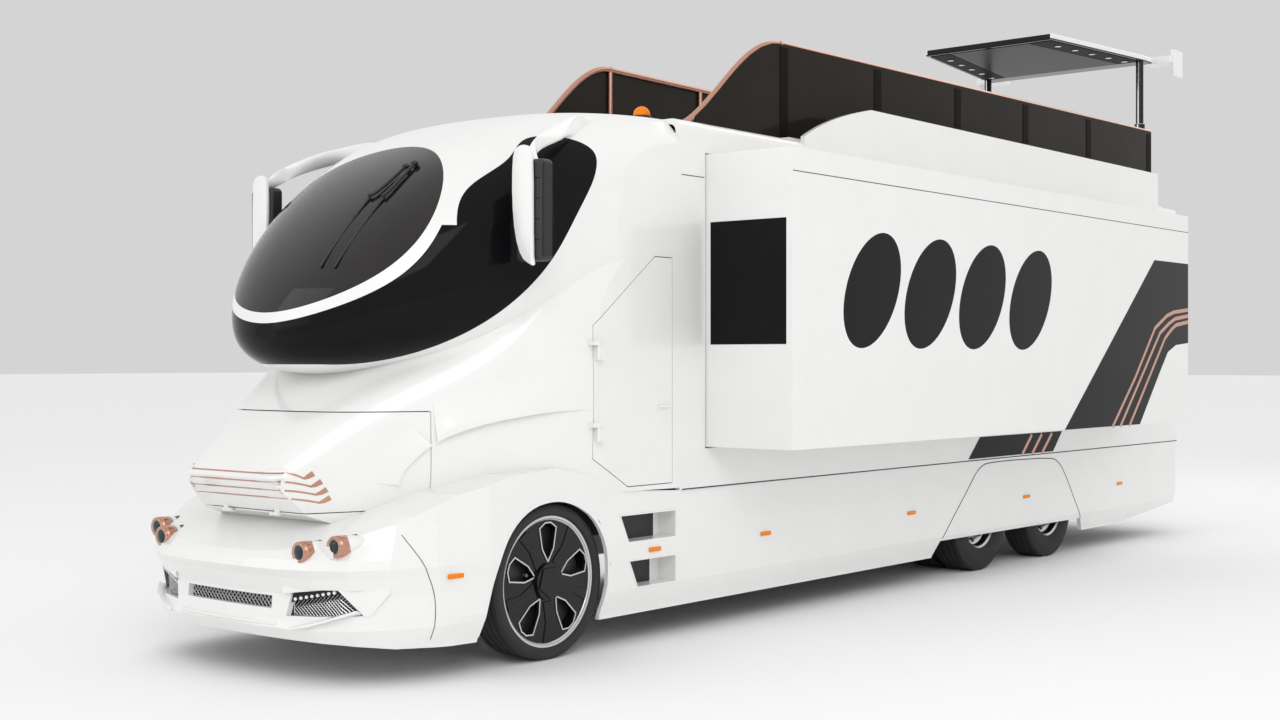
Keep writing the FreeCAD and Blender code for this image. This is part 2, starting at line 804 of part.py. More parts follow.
# The lower body by level: share of the roof's height, then how far the sides and the front stand back
# there, as shares of the half width.
RING_LEVEL_SHARES = [
    (0.0000, 0.035, 0.120), (0.0600, 0.035, 0.120), (0.0930, 0.010, 0.060), (0.1050, 0.000, 0.075),
    (0.1480, 0.000, 0.085), (0.1780, 0.000, 0.035), (0.1920, 0.000, 0.000), (0.2080, 0.000, 0.020),
    (0.2320, 0.000, 0.100), (0.2600, 0.000, 0.180), (0.3400, 0.000, 0.300),
]
RING_TOP_SHARES = [(-0.1211, 0.2802), (-0.06, 0.290), (-0.03, 0.325), (0.0001, 0.3400), (0.23, 0.3330), (0.46, 0.306),
                   (0.69, 0.264), (0.85, 0.236), (1.0, 0.210), (1.2, 0.205)]
RING_LOW_SHARES = [(1.2, 0.075), (0.94, 0.075), (0.70, 0.0605), (0.5, 0.0561), (-0.842, 0.0561), (-0.9799, 0.0931),
                   (-1.0142, 0.270)]


def ring_plan(level, inset):
    """The lower body's outline in plan at one level, as a closed wire."""
    high, side_share, front_share = level
    half = float(s.half_width)
    points = []
    for forward, wide in RING_PLAN_SHARES:
        x = tail_spot(forward, 0)[0]
        front = min(max((forward - RING_TURN_SHARE) / (1 - RING_TURN_SHARE), 0), 1)
        back = (side_share * (1 - front) + front_share * front) * half + float(inset)
        if forward > 0:
            points.append((x - back * front, max(wide * half - back * (1 - front), 0)))
        else:
            points.append((x + float(inset), max(wide * half - back, 0)))
    points += [(x, -y) for x, y in reversed(points) if y > 0]
    z = high * float(s.roof_top)
    corners = [Vector(x, y, z) for x, y in points]
    return Part.Wire(Part.makePolygon(corners + corners[:1]))


RING_TURN_SHARE = 0.3


def ring_mass(inset):
    """The lower body as one block, shrunk by the inset in plan and from above."""
    deep = float(inset) > 0
    levels = Part.makeLoft([ring_plan(level, inset) for level in RING_LEVEL_SHARES], True, True)
    lift = float(s.half_width) if deep else 0
    top = [(x, z - float(inset)) for x, z in outline(RING_TOP_SHARES)]
    low = [(x, z - lift) for x, z in outline(RING_LOW_SHARES)]
    back_top = float(s.skirt_top) - float(gap) + (float(s.wall) * 2 if deep else 0)
    far = float(s.tail_back) - float(s.half_width) / 2
    side = [(far, back_top), (float(s.cab_back), back_top)]
    if deep:
        side[0:1] = [(far, back_top), (float(s.body_back + s.wall), back_top)]
        side[0] = (far, back_top - float(s.wall) * 3)
        side.insert(1, (float(s.body_back + s.wall), back_top - float(s.wall) * 3))
        side.append((float(s.cab_back), top[0][1]))
    side += top[1:] + low
    side = [p for k, p in enumerate(side) if k == 0 or p != side[k - 1]]
    corners = [Vector(float(x), -float(big), float(z)) for x, z in side]
    across = Part.Face(Part.makePolygon(corners + corners[:1])).extrude(Vector(0, 2 * float(big), 0))
    return levels.common(across)


ring = solid(ring_mass(ZERO).cut(ring_mass(s.wall)).cut(lower_grown.Shape))
ARCH_SHARES = [(-0.0438, 0.0), (-0.0438, 0.056), (-0.0503, 0.158), (-0.0400, 0.238), (-0.0200, 0.274),
               (0.0063, 0.2872), (0.144, 0.276), (0.259, 0.235), (0.335, 0.168), (0.387, 0.0575), (0.387, 0.0)]
arch = prism("XZ", outline(ARCH_SHARES), ZERO - big, big)
SPAT_SHARES = [(-0.4761, 0.095), (-0.555, 0.29), (-0.7050, 0.29), (-0.7498, 0.092)]
spat_area = prism("XZ", outline(SPAT_SHARES), ZERO - big, big)
WELL_SHARES = [(-0.4665, 0.0), (-0.4665, 0.056), (-0.4761, 0.095), (-0.7498, 0.092), (-0.7600, 0.056), (-0.7600, 0.0)]
well_area = prism("XZ", outline(WELL_SHARES), ZERO - big, big)


def grown_prism(shares, amount):
    """A block over a side outline, widened all round, for cutting room for a piece."""
    corners = [Vector(x, -float(big), z) for x, z in outline(shares)]
    wire = Part.makePolygon(corners + corners[:1]).makeOffset2D(float(amount), 2)
    return solid(Part.Face(wire).extrude(Vector(0, 2 * float(big), 0)))


def zone(low, high, y_low=None, y_high=None):
    """A tall block between two stations, for parting pieces."""
    return box((low, high), (y_low if y_low else -big / 2, y_high if y_high else big / 2), (-big / 2, big / 2))


left_half = zone(2 * s.tail_back, 2 * s.nose_front, s.seat_gap, None)
open_ring = cut(ring, arch, well_area)
bumper = common(open_ring, zone(s.bumper_station, 2 * s.nose_front))
def lamp_bar(grow):
    """The bar behind the headlamp pair that holds them together, widened for its clearance."""
    return box((s.lamp_inner_x - s.hinge_long / 3 - grow, s.lamp_inner_x + s.hinge_long / 3 + grow),
               (s.lamp_inner_y - grow, s.lamp_outer_y + grow),
               (s.lamp_inner_z - s.hinge_long / 3 - grow, s.lamp_outer_z + grow))


lamp_bores = both_sides(fuse(
    lamp_bar(gap),
    cylinder(s.lamp_radius + gap, 2 * s.lamp_long, s.lamp_inner_x - s.lamp_long, s.lamp_inner_y, s.lamp_inner_z, "X"),
    cylinder(s.lamp_radius + gap, 2 * s.lamp_long, s.lamp_outer_x - s.lamp_long, s.lamp_outer_y, s.lamp_outer_z, "X"),
))
centre_mesh = box((s.bumper_station + s.wall, 2 * s.nose_front), (-s.mesh_half, s.mesh_half), (s.mesh_low, s.mesh_top))
SIDE_INTAKE_SHARES = [(0.43, 0.113), (0.80, 0.118), (0.85, 0.158), (0.46, 0.160)]
side_intake = prism("YZ", [(y * s.half_width, float(s.roof_top) * z) for y, z in SIDE_INTAKE_SHARES],
                    s.bumper_station + 4 * s.wall, 2 * s.nose_front)
node("front_bumper", cut(bumper, lamp_bores, centre_mesh, both_sides(side_intake)))
UPPER_VENT_SHARES = [(-0.0600, 0.2425), (-0.1164, 0.2425), (-0.1164, 0.1933), (-0.0680, 0.1933)]
LOWER_VENT_SHARES = [(-0.0690, 0.1566), (-0.1164, 0.1566), (-0.1164, 0.1076), (-0.0770, 0.1076)]


def vent(shares, amount, depth):
    """A vent's block through the fender wall, widened by an amount, reaching inwards by a depth."""
    corners = [Vector(x, 0, z) for x, z in outline(shares)]
    wire = Part.makePolygon(corners + corners[:1])
    if amount:
        wire = wire.makeOffset2D(float(amount), 2)
    face = Part.Face(wire)
    face.translate(Vector(0, float(s.half_width - depth), 0))
    return solid(face.extrude(Vector(0, float(depth) * 2, 0)))


ducts = [common(vent(shares, s.glass, s.vent_deep), zone(2 * s.tail_back, 2 * s.nose_front, ZERO, s.half_width - gap))
         for shares in (UPPER_VENT_SHARES, LOWER_VENT_SHARES)]
duct_bores = [vent(shares, 0, s.vent_deep - s.glass) for shares in (UPPER_VENT_SHARES, LOWER_VENT_SHARES)]
under_cab = box((s.cab_back - s.wall, s.bumper_station - s.wall), (ZERO, rail_out + s.wall), (s.front_rail_top, big))
fender_skin = cut(common(open_ring, zone(s.cab_back, s.bumper_station - gap), left_half), under_cab)
node("fender_left", cut(fuse(fender_skin, *ducts), *duct_bores))
right_skin = cut(common(open_ring, zone(s.cab_back, s.bumper_station - gap), mirrored(left_half)), mirrored(under_cab))
node("fender_right", cut(fuse(right_skin, *[mirrored(duct) for duct in ducts]), *[mirrored(bore) for bore in duct_bores]))
spat_front = tail_spot(*SPAT_SHARES[0])[0]
spat_back = tail_spot(*SPAT_SHARES[-1])[0]
spat_middle = (spat_front + spat_back) / 2
grown_spat = grown_prism(SPAT_SHARES, gap)
skirt = cut(common(open_ring, zone(s.drive_axle - s.axle_pitch / 2, s.cab_back - gap), left_half), grown_spat)
node("skirt_left", skirt)
node("skirt_right", mirrored(skirt))
spat = common(open_ring, spat_area, left_half)
node("spat_left", spat)
node("spat_right", mirrored(spat))
node("tail_skirt", cut(common(open_ring, zone(2 * s.tail_back, s.drive_axle - s.axle_pitch / 2 - gap)), grown_spat))


# Living body: a square shell open to the cab, with its floor slab, window openings and roof terrace

body_front = s.cab_back - gap


def body_block(inset):
    """The body's outer form with rounded roof corners, shrunk by the inset; it runs on towards the cab."""
    half, top, round_by = s.half_width - inset, s.roof_top - inset, s.roof_corner - inset / 2
    reach = [(-half, s.skirt_top - inset * 2), (-half, top - round_by)]
    bend = [(-half + round_by * (1 - math.cos(a)), top - round_by * (1 - math.sin(a))) for a in ROUND_ANGLES]
    bend_right = [(-y, z) for y, z in reversed(bend)]
    loop = reach + bend + bend_right + [(-u, v) for u, v in reversed(reach)]
    return loop


ROUND_ANGLES = [math.radians(a) for a in (0, 22.5, 45, 67.5, 90)]


def body_prism(inset, back, front):
    loop = [(float(y), float(z)) for y, z in body_block(inset)]
    loop = [p for k, p in enumerate(loop) if k == 0 or math.dist(p, loop[k - 1]) > float(gap)]
    return prism("YZ", loop, back, front)


body_outer = body_prism(ZERO, s.body_back, body_front)
body_inner = body_prism(s.wall, s.body_back + s.wall, body_front + s.wall)
inner_half = s.half_width - s.wall
room_hole = box((s.room_back - s.running_gap, s.room_front + s.running_gap), (ZERO, big),
                (s.room_low - s.running_gap, s.room_high + s.running_gap))
entrance_hole = box((s.entrance_back, s.entrance_front), (-big, ZERO), (s.entrance_low, s.entrance_top))
side_hole = box((s.side_window_back, s.side_window_front), (-big, ZERO), (s.side_window_low, s.side_window_top))
rear_hole = box((-big * 4, s.body_back + 2 * s.wall), (-s.rear_window_half, s.rear_window_half),
                (s.side_window_low, s.side_window_top))


def barrels(x, y, levels, radius):
    """A door's hinge barrels, centred on their levels."""
    return [cylinder(radius, s.hinge_long, x, y, z - s.hinge_long / 2) for z in levels]


def pins(x, y, levels):
    """Hinge pins, each with a collar above its barrel that a foot joins to the wall."""
    pieces = []
    for z in levels:
        top = z + s.hinge_long / 2 + s.shut_gap
        pieces.append(cylinder(s.hinge_radius / 2, s.hinge_long + s.shut_gap, x, y, z - s.hinge_long / 2))
        pieces.append(cylinder(s.hinge_radius, s.hinge_long / 3, x, y, top))
    return pieces


entrance_hinge_x = s.entrance_front - s.hinge_radius
entrance_hinge_y = -s.half_width - s.hinge_outside
entrance_levels = [s.entrance_low + 2 * s.hinge_long, s.entrance_top - 2 * s.hinge_long]
entrance_pins = pins(entrance_hinge_x, entrance_hinge_y, entrance_levels)
foot_far = s.entrance_front + 3 * s.hinge_radius
entrance_feet = [
    box((entrance_hinge_x, foot_far), (entrance_hinge_y - s.hinge_radius / 2, -s.half_width - s.shut_gap / 2),
        (z + s.hinge_long / 2 + s.shut_gap, z + s.hinge_long * 5 / 6 + s.shut_gap))
    for z in entrance_levels
] + [
    box((s.entrance_front + s.hinge_radius / 2, foot_far), (entrance_hinge_y - s.hinge_radius / 2, -s.half_width + s.wall / 2),
        (z + s.hinge_long / 2 + s.shut_gap, z + s.hinge_long * 5 / 6 + s.shut_gap))
    for z in entrance_levels
]
node("house_shell", fuse(cut(body_outer, body_inner, room_hole, entrance_hole, side_hole, rear_hole),
                         *entrance_pins, *entrance_feet))

door_body = box((s.entrance_back + s.shut_gap, s.entrance_front - s.shut_gap), (-s.half_width, -inner_half),
                (s.entrance_low + s.shut_gap, s.entrance_top - s.shut_gap))
door_ears = [
    box((entrance_hinge_x - 3 * s.hinge_radius, entrance_hinge_x), (entrance_hinge_y - s.hinge_radius / 2, -s.half_width + s.wall / 4),
        (z - s.hinge_long / 2, z + s.hinge_long / 2))
    for z in entrance_levels
]
door_bores = [cylinder(s.hinge_radius / 2 + s.bearing_gap, 2 * s.hinge_long, entrance_hinge_x, entrance_hinge_y, z - s.hinge_long)
              for z in entrance_levels]
door_barrels = barrels(entrance_hinge_x, entrance_hinge_y, entrance_levels, s.hinge_radius)
node("entrance_door", cut(fuse(door_body, *door_ears, *door_barrels), *door_bores))


def pane(x, y, z, out):
    """A window that fills its opening: a sheet, held a seat's gap from the frame on every side."""
    grown = [(a + gap, b - gap) for a, b in (x, y, z)]
    return box(*grown)


glass_out = s.half_width - s.glass
node("side_window_right", box((s.side_window_back + gap, s.side_window_front - gap), (-s.half_width, -glass_out + s.glass),
                              (s.side_window_low + gap, s.side_window_top - gap)))
node("rear_window", box((s.body_back, s.body_back + 2 * s.glass), (-s.rear_window_half + gap, s.rear_window_half - gap),
                        (s.side_window_low + gap, s.side_window_top - gap)))

floor_half = inner_half - gap
well_box = box((s.well_back, s.well_front), (s.well_inside, s.half_width - s.wall - 2 * s.shut_gap), (s.skirt_top - s.wall, s.well_top))
well_space = box((s.well_back + s.floor_thick, s.well_front - s.floor_thick), (s.well_inside + s.floor_thick, big),
                 (ZERO, s.well_top - s.floor_thick))
floor_slab = box((s.body_back + s.wall + gap, body_front), (-floor_half, floor_half), (s.skirt_top, s.skirt_top + s.floor_thick))
sill_low = s.skirt_top + s.floor_thick - s.shut_gap
sill = box((s.room_back, s.room_front), (floor_half - s.sill_wide, floor_half), (sill_low, s.room_low - gap))
riser = box((body_front - s.wall, body_front), (-s.cab_deck_half, s.cab_deck_half), (s.skirt_top, s.cab_floor))
node("floor_pan", fuse(cut(fuse(floor_slab, both_sides(well_box)), both_sides(well_space)), sill, riser))


# Slide-out room: a box open to the inside, with oval windows, a full-width front window and a black band

room_side_in = s.half_width - s.room_inside
room_wall = s.wall
room_outer = box((s.room_back, s.room_front), (room_side_in, s.room_out), (s.room_low, s.room_high))
room_inner = box((s.room_back + room_wall, s.room_front - room_wall), (ZERO, s.room_out - room_wall),
                 (s.room_low + room_wall, s.room_high - room_wall))
front_hole = box((s.room_front - 2 * room_wall, s.room_front + room_wall), (s.half_width + s.wall, s.room_out - room_wall - s.running_gap),
                 (s.band_low, s.band_top))
room_long = s.room_front - s.room_back
OVAL_SHARES = [0.1463, 0.2653, 0.3836, 0.5043]
OVAL_LEVEL_SHARE = 0.5433
OVAL_HIGH_SHARE = 0.235
OVAL_WIDE_SHARE = 0.153
OVAL_LEAN = math.radians(40)


def oval(share, grow):
    """A slanted oval through the room's side wall."""
    centre = Vector(float(s.room_front - room_long * share), 0,
                    float(s.room_low + (s.room_high - s.room_low) * OVAL_LEVEL_SHARE))
    high = float((s.room_high - s.room_low) * OVAL_HIGH_SHARE) + float(grow)
    wide = float((s.room_high - s.room_low) * OVAL_WIDE_SHARE) + float(grow)
    along = Vector(-math.sin(OVAL_LEAN), 0, math.cos(OVAL_LEAN))
    across = Vector(math.cos(OVAL_LEAN), 0, math.sin(OVAL_LEAN))
    ring_line = Part.Ellipse(centre + along * high, centre + across * wide, centre)
    return Part.Face(Part.Wire(ring_line.toShape()))


def oval_block(share, grow, low, high):
    face = oval(share, grow)
    face.translate(Vector(0, float(low), 0))
    return solid(face.extrude(Vector(0, float(high) - float(low), 0)))


BAND_SHARES = [(0.5966, 0.0), (0.878, 0.7667), (1.0, 0.7667), (1.0, 0.380), (0.9547, 0.369), (0.9257, 0.335),
               (0.8973, 0.240), (0.8286, 0.0)]


def room_spot(along, up):
    return float(s.room_front - room_long * along), float(s.room_low + (s.room_high - s.room_low) * up)


def band_block(grow, low, high):
    """The slanted black glazing at the rear of the room's side."""
    corners = [room_spot(*pair) for pair in BAND_SHARES]
    face = Part.Face(Part.makePolygon([Vector(x, float(low), z) for x, z in corners + corners[:1]]))
    if float(grow):
        face = Part.Face(face.OuterWire.makeOffset2D(float(grow), 2))
    return solid(face.extrude(Vector(0, float(high) - float(low), 0)))


pane_back = s.room_out - 2 * s.glass
oval_holes = [oval_block(share, gap, s.room_out - 2 * room_wall, s.room_out + room_wall) for share in OVAL_SHARES]
band_rebate = band_block(gap, pane_back - gap, s.room_out + room_wall)
node("slide_room", cut(room_outer, room_inner, front_hole, *oval_holes, band_rebate))
inner_face = s.room_out - room_wall - gap
sheet_front = s.room_front - room_wall - gap
oval_sheet = box((s.room_front - room_long * 0.6, sheet_front), (inner_face - s.glass, inner_face),
                 (s.room_low + (s.room_high - s.room_low) * 0.28, s.room_low + (s.room_high - s.room_low) * 0.80))
node("room_oval_glass", fuse(oval_sheet, *[oval_block(share, ZERO, inner_face - s.glass / 2, s.room_out)
                                           for share in OVAL_SHARES]))
node("room_rear_glass", common(band_block(ZERO, pane_back, s.room_out), room_outer))
node("room_front_glass", box((s.room_front - room_wall / 2, s.room_front),
                             (s.half_width + s.wall + gap, s.room_out - room_wall - s.running_gap - gap),
                             (s.band_low + gap, s.band_top - gap)))


# Roof terrace: deck, white parapets with a curved front end, railings and dark glass

deck_top = s.roof_top + gap + s.deck_thick
PARAPET_SHARES = [(0.0, -0.3), (0.0, 0.10), (0.035, 0.42), (0.08, 0.72), (0.14, 1.0), (1.0, 1.0), (1.0, -0.3)]


def parapet_outline():
    """The parapet from the side: shares of its length back from the front and of its rise above the roof."""
    long = s.parapet_front - s.parapet_back
    rise = s.parapet_top - s.roof_top
    return [(s.parapet_front - long * along, s.roof_top + rise * up) for along, up in PARAPET_SHARES]


side_line = parapet_outline()
parapet_area = smooth_prism("XZ", [side_line[:2], side_line[1:5], side_line[4:6], side_line[5:7], [side_line[6], side_line[0]]],
                            s.half_width - s.wall, s.half_width)
body_grown = body_prism(-gap, s.body_back - s.wall, body_front + s.wall)
parapet = cut(parapet_area, body_grown)
node("parapet_left", parapet)
node("parapet_right", mirrored(parapet))
sleeve_top = s.canopy_level - s.canopy_drop - s.running_gap
sleeves = [cylinder(s.post_radius, sleeve_top - s.roof_top - gap, s.post_station, s.post_spread, s.roof_top + gap)]
sleeve_bores = [cylinder(s.inner_post_radius + s.bearing_gap, big, s.post_station, s.post_spread, deck_top)]
node("terrace_deck", cut(
    fuse(box((s.body_back + s.wall, s.parapet_front), (-s.deck_edge, s.deck_edge), (s.roof_top + gap, deck_top)),
         *sleeves, *[mirrored(piece) for piece in sleeves]),
    *sleeve_bores, *[mirrored(piece) for piece in sleeve_bores]))


def tube(points, radius):
    """A bent round tube through points, with ball corners."""
    parts = []
    for start, end in zip(points, points[1:]):
        parts.append(Part.makeCylinder(radius, (end - start).Length, start, end - start))
    for corner in points[1:-1]:
        parts.append(Part.makeSphere(radius, corner))
    return parts


POST_SHARE = 0.8
RAIL_STATION_SHARES = [0.0, 0.20, 0.40, 0.60, 0.80, 1.0]


def rail_spots():
    """Post stations on the left side, from the peak at the front to the rear."""
    front, back = float(s.rail_peak), float(s.parapet_back)
    spread, back_spread = float(s.rail_front_spread), float(s.rail_back_spread)
    return [(front + (back - front) * share, spread + (back_spread - spread) * share) for share in RAIL_STATION_SHARES]


def rail_rise(share):
    """A point of the handrail's curved front end: share 0 at the roof, 1 at the peak."""
    start, peak = float(s.rail_start), float(s.rail_peak)
    low, high = float(s.roof_top) + float(s.rail_tube) / 2, float(s.rail_top)
    x = start + (peak - start) * share
    lift = (1 - math.cos(math.pi * share ** RISE_POWER)) / 2
    slope = (float(s.rail_back_spread) - float(s.rail_front_spread)) / (float(s.parapet_back) - peak)
    return Vector(x, float(s.rail_front_spread) + (x - peak) * slope, low + (high - low) * lift)


RISE_POWER = 0.9
JOINT_SHARE = 1.25
RISE_SHARES = [0.0, 0.1, 0.2, 0.3, 0.4, 0.5, 0.6, 0.7, 0.8, 0.9, 1.0]


def railing():
    """A handrail swept up from the roof in one curve, then straight to the rear on its posts."""
    radius = float(s.rail_tube) / 2
    level = float(s.rail_top)
    spots = rail_spots()
    curve = Part.BSplineCurve()
    curve.interpolate([rail_rise(share) for share in RISE_SHARES])
    path = Part.Wire([curve.toShape()])
    ring_face = Part.Wire([Part.makeCircle(radius, rail_rise(0.0), curve.tangent(curve.FirstParameter)[0])])
    first, last = (Vector(x, y, level) for x, y in (spots[0], spots[-1]))
    ahead = (last - first).normalize()
    parts = [path.makePipeShell([ring_face], True, False), Part.makeSphere(radius * JOINT_SHARE, first)]
    parts += tube([first + ahead * (radius / 2), last], radius)
    for x, y in spots:
        foot = Vector(x, min(y, float(s.deck_edge)), float(deck_top + gap))
        parts += tube([foot, Vector(x, y, level)], radius * POST_SHARE)
    joined = parts[0].multiFuse(parts[1:])
    roof = slab(Vector(-float(big) * 4, -float(big), 0), Vector(float(big), float(big), float(s.roof_top + gap)))
    return joined.cut(roof)


rails_left = solid(railing())
node("terrace_rail_left", rails_left)
node("terrace_rail_right", mirrored(rails_left))


def rail_glass():
    """Dark glass along the outer side of the posts, cut to the handrail's curve at the front."""
    near = float(s.rail_tube) / 2 * POST_SHARE + float(gap)
    low = float(s.roof_top) + float(s.rail_tube)
    edge = [rail_rise(share) for share in RISE_SHARES if rail_rise(share).z > low + float(s.rail_tube)]
    last = rail_spots()[-1]
    end = Vector(last[0], last[1], float(s.rail_top))
    across = Vector(0, near, 0)
    corners = [Vector(edge[0].x, edge[0].y, low)] + edge + [end, Vector(end.x, end.y, low)]
    corners = [corner + across for corner in corners]
    straight = [flattened(corner, corners[0], corners[-1]) for corner in corners]
    face = Part.Face(Part.makePolygon(straight + straight[:1]))
    return face.extrude(Vector(0, float(s.glass), 0))


def flattened(corner, first, last):
    """The corner moved in Y onto the upright plane through two points."""
    share = (corner.x - first.x) / (last.x - first.x)
    return Vector(corner.x, first.y + (last.y - first.y) * share, corner.z)


glass_left = cut(cut(solid(rail_glass()), rails_left), body_grown)
node("terrace_glass_left", glass_left)
node("terrace_glass_right", mirrored(glass_left))


# Canopy: a tapered slab on two posts that slide into the deck's sleeves

CANOPY_FRONT_SHARE = 0.59
CANOPY_BACK_SHARE = 0.7176
canopy_front_half = s.half_width * CANOPY_FRONT_SHARE
canopy_back_half = s.half_width * CANOPY_BACK_SHARE
canopy_top = s.canopy_level + s.canopy_thick
canopy_slab = prism("XY", [
    (s.canopy_front, -canopy_front_half), (s.canopy_front, canopy_front_half), (s.post_station, s.post_spread + s.post_radius),
    (s.canopy_back, s.post_spread + s.post_radius), (s.canopy_back, -s.post_spread - s.post_radius),
    (s.post_station, -s.post_spread - s.post_radius),
], s.canopy_level, canopy_top)
post_low = deck_top + s.canopy_drop + s.running_gap
post = cylinder(s.inner_post_radius, s.canopy_level - post_low + s.glass, s.post_station, s.post_spread, post_low)
fin = box((s.fin_back, s.fin_back + s.fin_long), (s.fin_spread, s.fin_spread + s.fin_thick), (s.fin_low, s.fin_top))
fin_arm = box((s.fin_back + s.fin_long / 2, s.canopy_back + s.glass), (s.post_spread, s.fin_spread + s.glass), (s.canopy_level, canopy_top))
fin_bar = box((s.canopy_back - s.fin_long, s.canopy_back + s.glass), (s.post_spread - s.wall, s.post_spread + s.wall), (s.canopy_level, canopy_top))
node("canopy", fuse(canopy_slab, both_sides(fuse(post, fin, fin_arm, fin_bar))))


# Cab: shell, glass, door, bonnet and interior

door_hinge_x = s.cab_door_front - s.hinge_radius
door_hinge_y = s.half_width + s.hinge_outside
door_low, door_high = s.cab_door_low, s.cab_door_low + (s.cab_door_top - s.cab_door_low) * DOOR_SHOULDER_SHARE
ear_low = s.hinge_radius / 2
door_levels = [door_low + 4 * s.hinge_long, door_high - 2 * s.hinge_long]
cab_foot_far = door_hinge_x + 5 * s.hinge_radius
shell_feet = [
    box((door_hinge_x, cab_foot_far), (s.half_width + s.shut_gap / 2, door_hinge_y + ear_low),
        (z + s.hinge_long / 2 + s.shut_gap, z + s.hinge_long * 5 / 6 + s.shut_gap)) for z in door_levels
] + [
    box((s.cab_door_front + s.hinge_radius / 2, cab_foot_far), (s.half_width - 2 * s.skin, door_hinge_y + ear_low),
        (z + s.hinge_long / 2 + s.shut_gap, z + s.hinge_long * 5 / 6 + s.shut_gap)) for z in door_levels
]
cab_ears = [
    box((door_hinge_x - 5 * s.hinge_radius, door_hinge_x), (s.half_width - 2 * s.skin, door_hinge_y + ear_low),
        (z - s.hinge_long / 2, z + s.hinge_long / 2)) for z in door_levels
]
cab_bores = [cylinder(s.hinge_radius / 2 + s.bearing_gap, 2 * s.hinge_long, door_hinge_x, door_hinge_y, z - s.hinge_long)
             for z in door_levels]
cab_barrels = barrels(door_hinge_x, door_hinge_y, door_levels, s.hinge_radius)
node("cab_door_left", cut(fuse(solid(cab["door"]), *cab_ears, *cab_barrels), *cab_bores))

flap_z = s.bonnet_hinge_z
flap_x = s.bonnet_hinge_x
flap_y = s.bonnet_hinge_y
pin_long = s.hinge_long
flap_pin = both_sides(fuse(
    cylinder(s.hinge_radius, s.hinge_long / 3, flap_x, flap_y, flap_z, "Y"),
    cylinder(s.hinge_radius / 2, s.hinge_long, flap_x, flap_y, flap_z, "Y"),
    box((flap_x - 2 * s.skin, flap_x), (flap_y, flap_y + s.hinge_long / 3), (flap_z - s.hinge_radius, flap_z - s.shut_gap / 2)),
))
barrel_start = flap_y + s.hinge_long / 3 + s.shut_gap
barrel_wide = s.hinge_long / 2
flap_bore = cylinder(s.hinge_radius / 2 + s.bearing_gap, s.hinge_long, flap_x, barrel_start - s.shut_gap / 2, flap_z, "Y")
flap_barrel = fuse(
    cylinder(s.hinge_radius, barrel_wide, flap_x, barrel_start, flap_z, "Y"),
    box((flap_x - 2 * s.skin, flap_x), (barrel_start, barrel_start + barrel_wide), (s.bonnet_low, s.bonnet_low + 2 * s.hinge_radius)),
    box((flap_x - s.hinge_radius, flap_x), (barrel_start, barrel_start + barrel_wide), (flap_z, s.bonnet_low + 2 * s.hinge_radius)),
)
node("bonnet", fuse(solid(cab["bonnet"]), both_sides(cut(flap_barrel, flap_bore))))
node("cab_shell", fuse(solid(cab["shell"]), *shell_feet, *pins(door_hinge_x, door_hinge_y, door_levels), flap_pin))
node("windscreen", solid(cab["windscreen"]))
node("windscreen_ring", solid(cab["ring"]))
node("front_glass_band", solid(cab["band"]))
side_solids = sorted(cab["side"].Solids, key=lambda piece: -piece.CenterOfMass.y)
node("side_glass_left", solid(side_solids[0]))
node("side_glass_right", solid(side_solids[-1]))


# Cab interior

deck_plan = [
    (s.cab_back, s.cab_deck_half), (s.cab_deck_taper, s.cab_deck_half), (s.cab_deck_front, s.cab_deck_front_half),
    (s.cab_deck_front, -s.cab_deck_front_half), (s.cab_deck_taper, -s.cab_deck_half), (s.cab_back, -s.cab_deck_half),
]
deck_plate = prism("XY", deck_plan, s.cab_floor - s.wall, s.cab_floor)
dash_line = [
    (s.dash_back, s.cab_floor - s.glass), (s.dash_back, s.dash_top), (s.dash_nose, s.dash_top),
    (s.dash_front, s.cab_floor + s.column_long), (s.dash_front, s.cab_floor - s.glass),
]
dash = prism("XZ", dash_line, -s.dash_half, s.dash_half)
node("cab_deck", fuse(deck_plate, dash))


def seat(y):
    """A driver's seat on a pedestal: cushion, raked back and head rest."""
    x, wide, thick = s.seat_station, s.seat_wide / 2, s.seat_back_thick
    cushion_low = s.cab_floor + s.seat_high - thick
    side = [
        (x, s.cab_floor + gap), (x + s.seat_long * 0.7, s.cab_floor + gap), (x + s.seat_long * 0.7, cushion_low),
        (x + s.seat_long, cushion_low), (x + s.seat_long, s.cab_floor + s.seat_high), (x, s.cab_floor + s.seat_high),
        (x - thick, s.cab_floor + s.seat_high + s.seat_back_high), (x - thick * 1.9, s.cab_floor + s.seat_high + s.seat_back_high),
        (x - thick, cushion_low), (x, cushion_low),
    ]
    return prism("XZ", side, y - wide, y + wide)


node("driver_seat", seat(s.seat_spread))
node("passenger_seat", seat(-s.seat_spread))

column_low = Vector(float(s.dash_back) + float(s.column_radius), float(s.seat_spread), float(s.dash_top) - float(s.column_long) / 2)
COLUMN_LEAN = math.radians(35)
column_line = Vector(-math.sin(COLUMN_LEAN), 0, math.cos(COLUMN_LEAN))


def steering_wheel():
    """Rim, three spokes and hub on a leaning shaft that enters the dashboard."""
    centre = column_low + column_line * float(s.column_long)
    rim_ring = Part.makeTorus(float(s.wheel_rim), float(s.wheel_tube), centre, column_line)
    parts = [Part.makeCylinder(float(s.column_radius) * 2, float(s.wheel_tube) * 2, centre - column_line * float(s.wheel_tube), column_line)]
    parts.append(Part.makeCylinder(float(s.column_radius), float(s.column_long) * 1.25, centre - column_line * float(s.column_long) * 1.25, column_line))
    side_line = Vector(0, 1, 0)
    up_line = column_line.cross(side_line)
    for direction in (side_line, -side_line, up_line):
        parts.append(Part.makeCylinder(float(s.wheel_tube) * SPOKE_SHARE, float(s.wheel_rim), centre, direction))
    return rim_ring.multiFuse(parts)


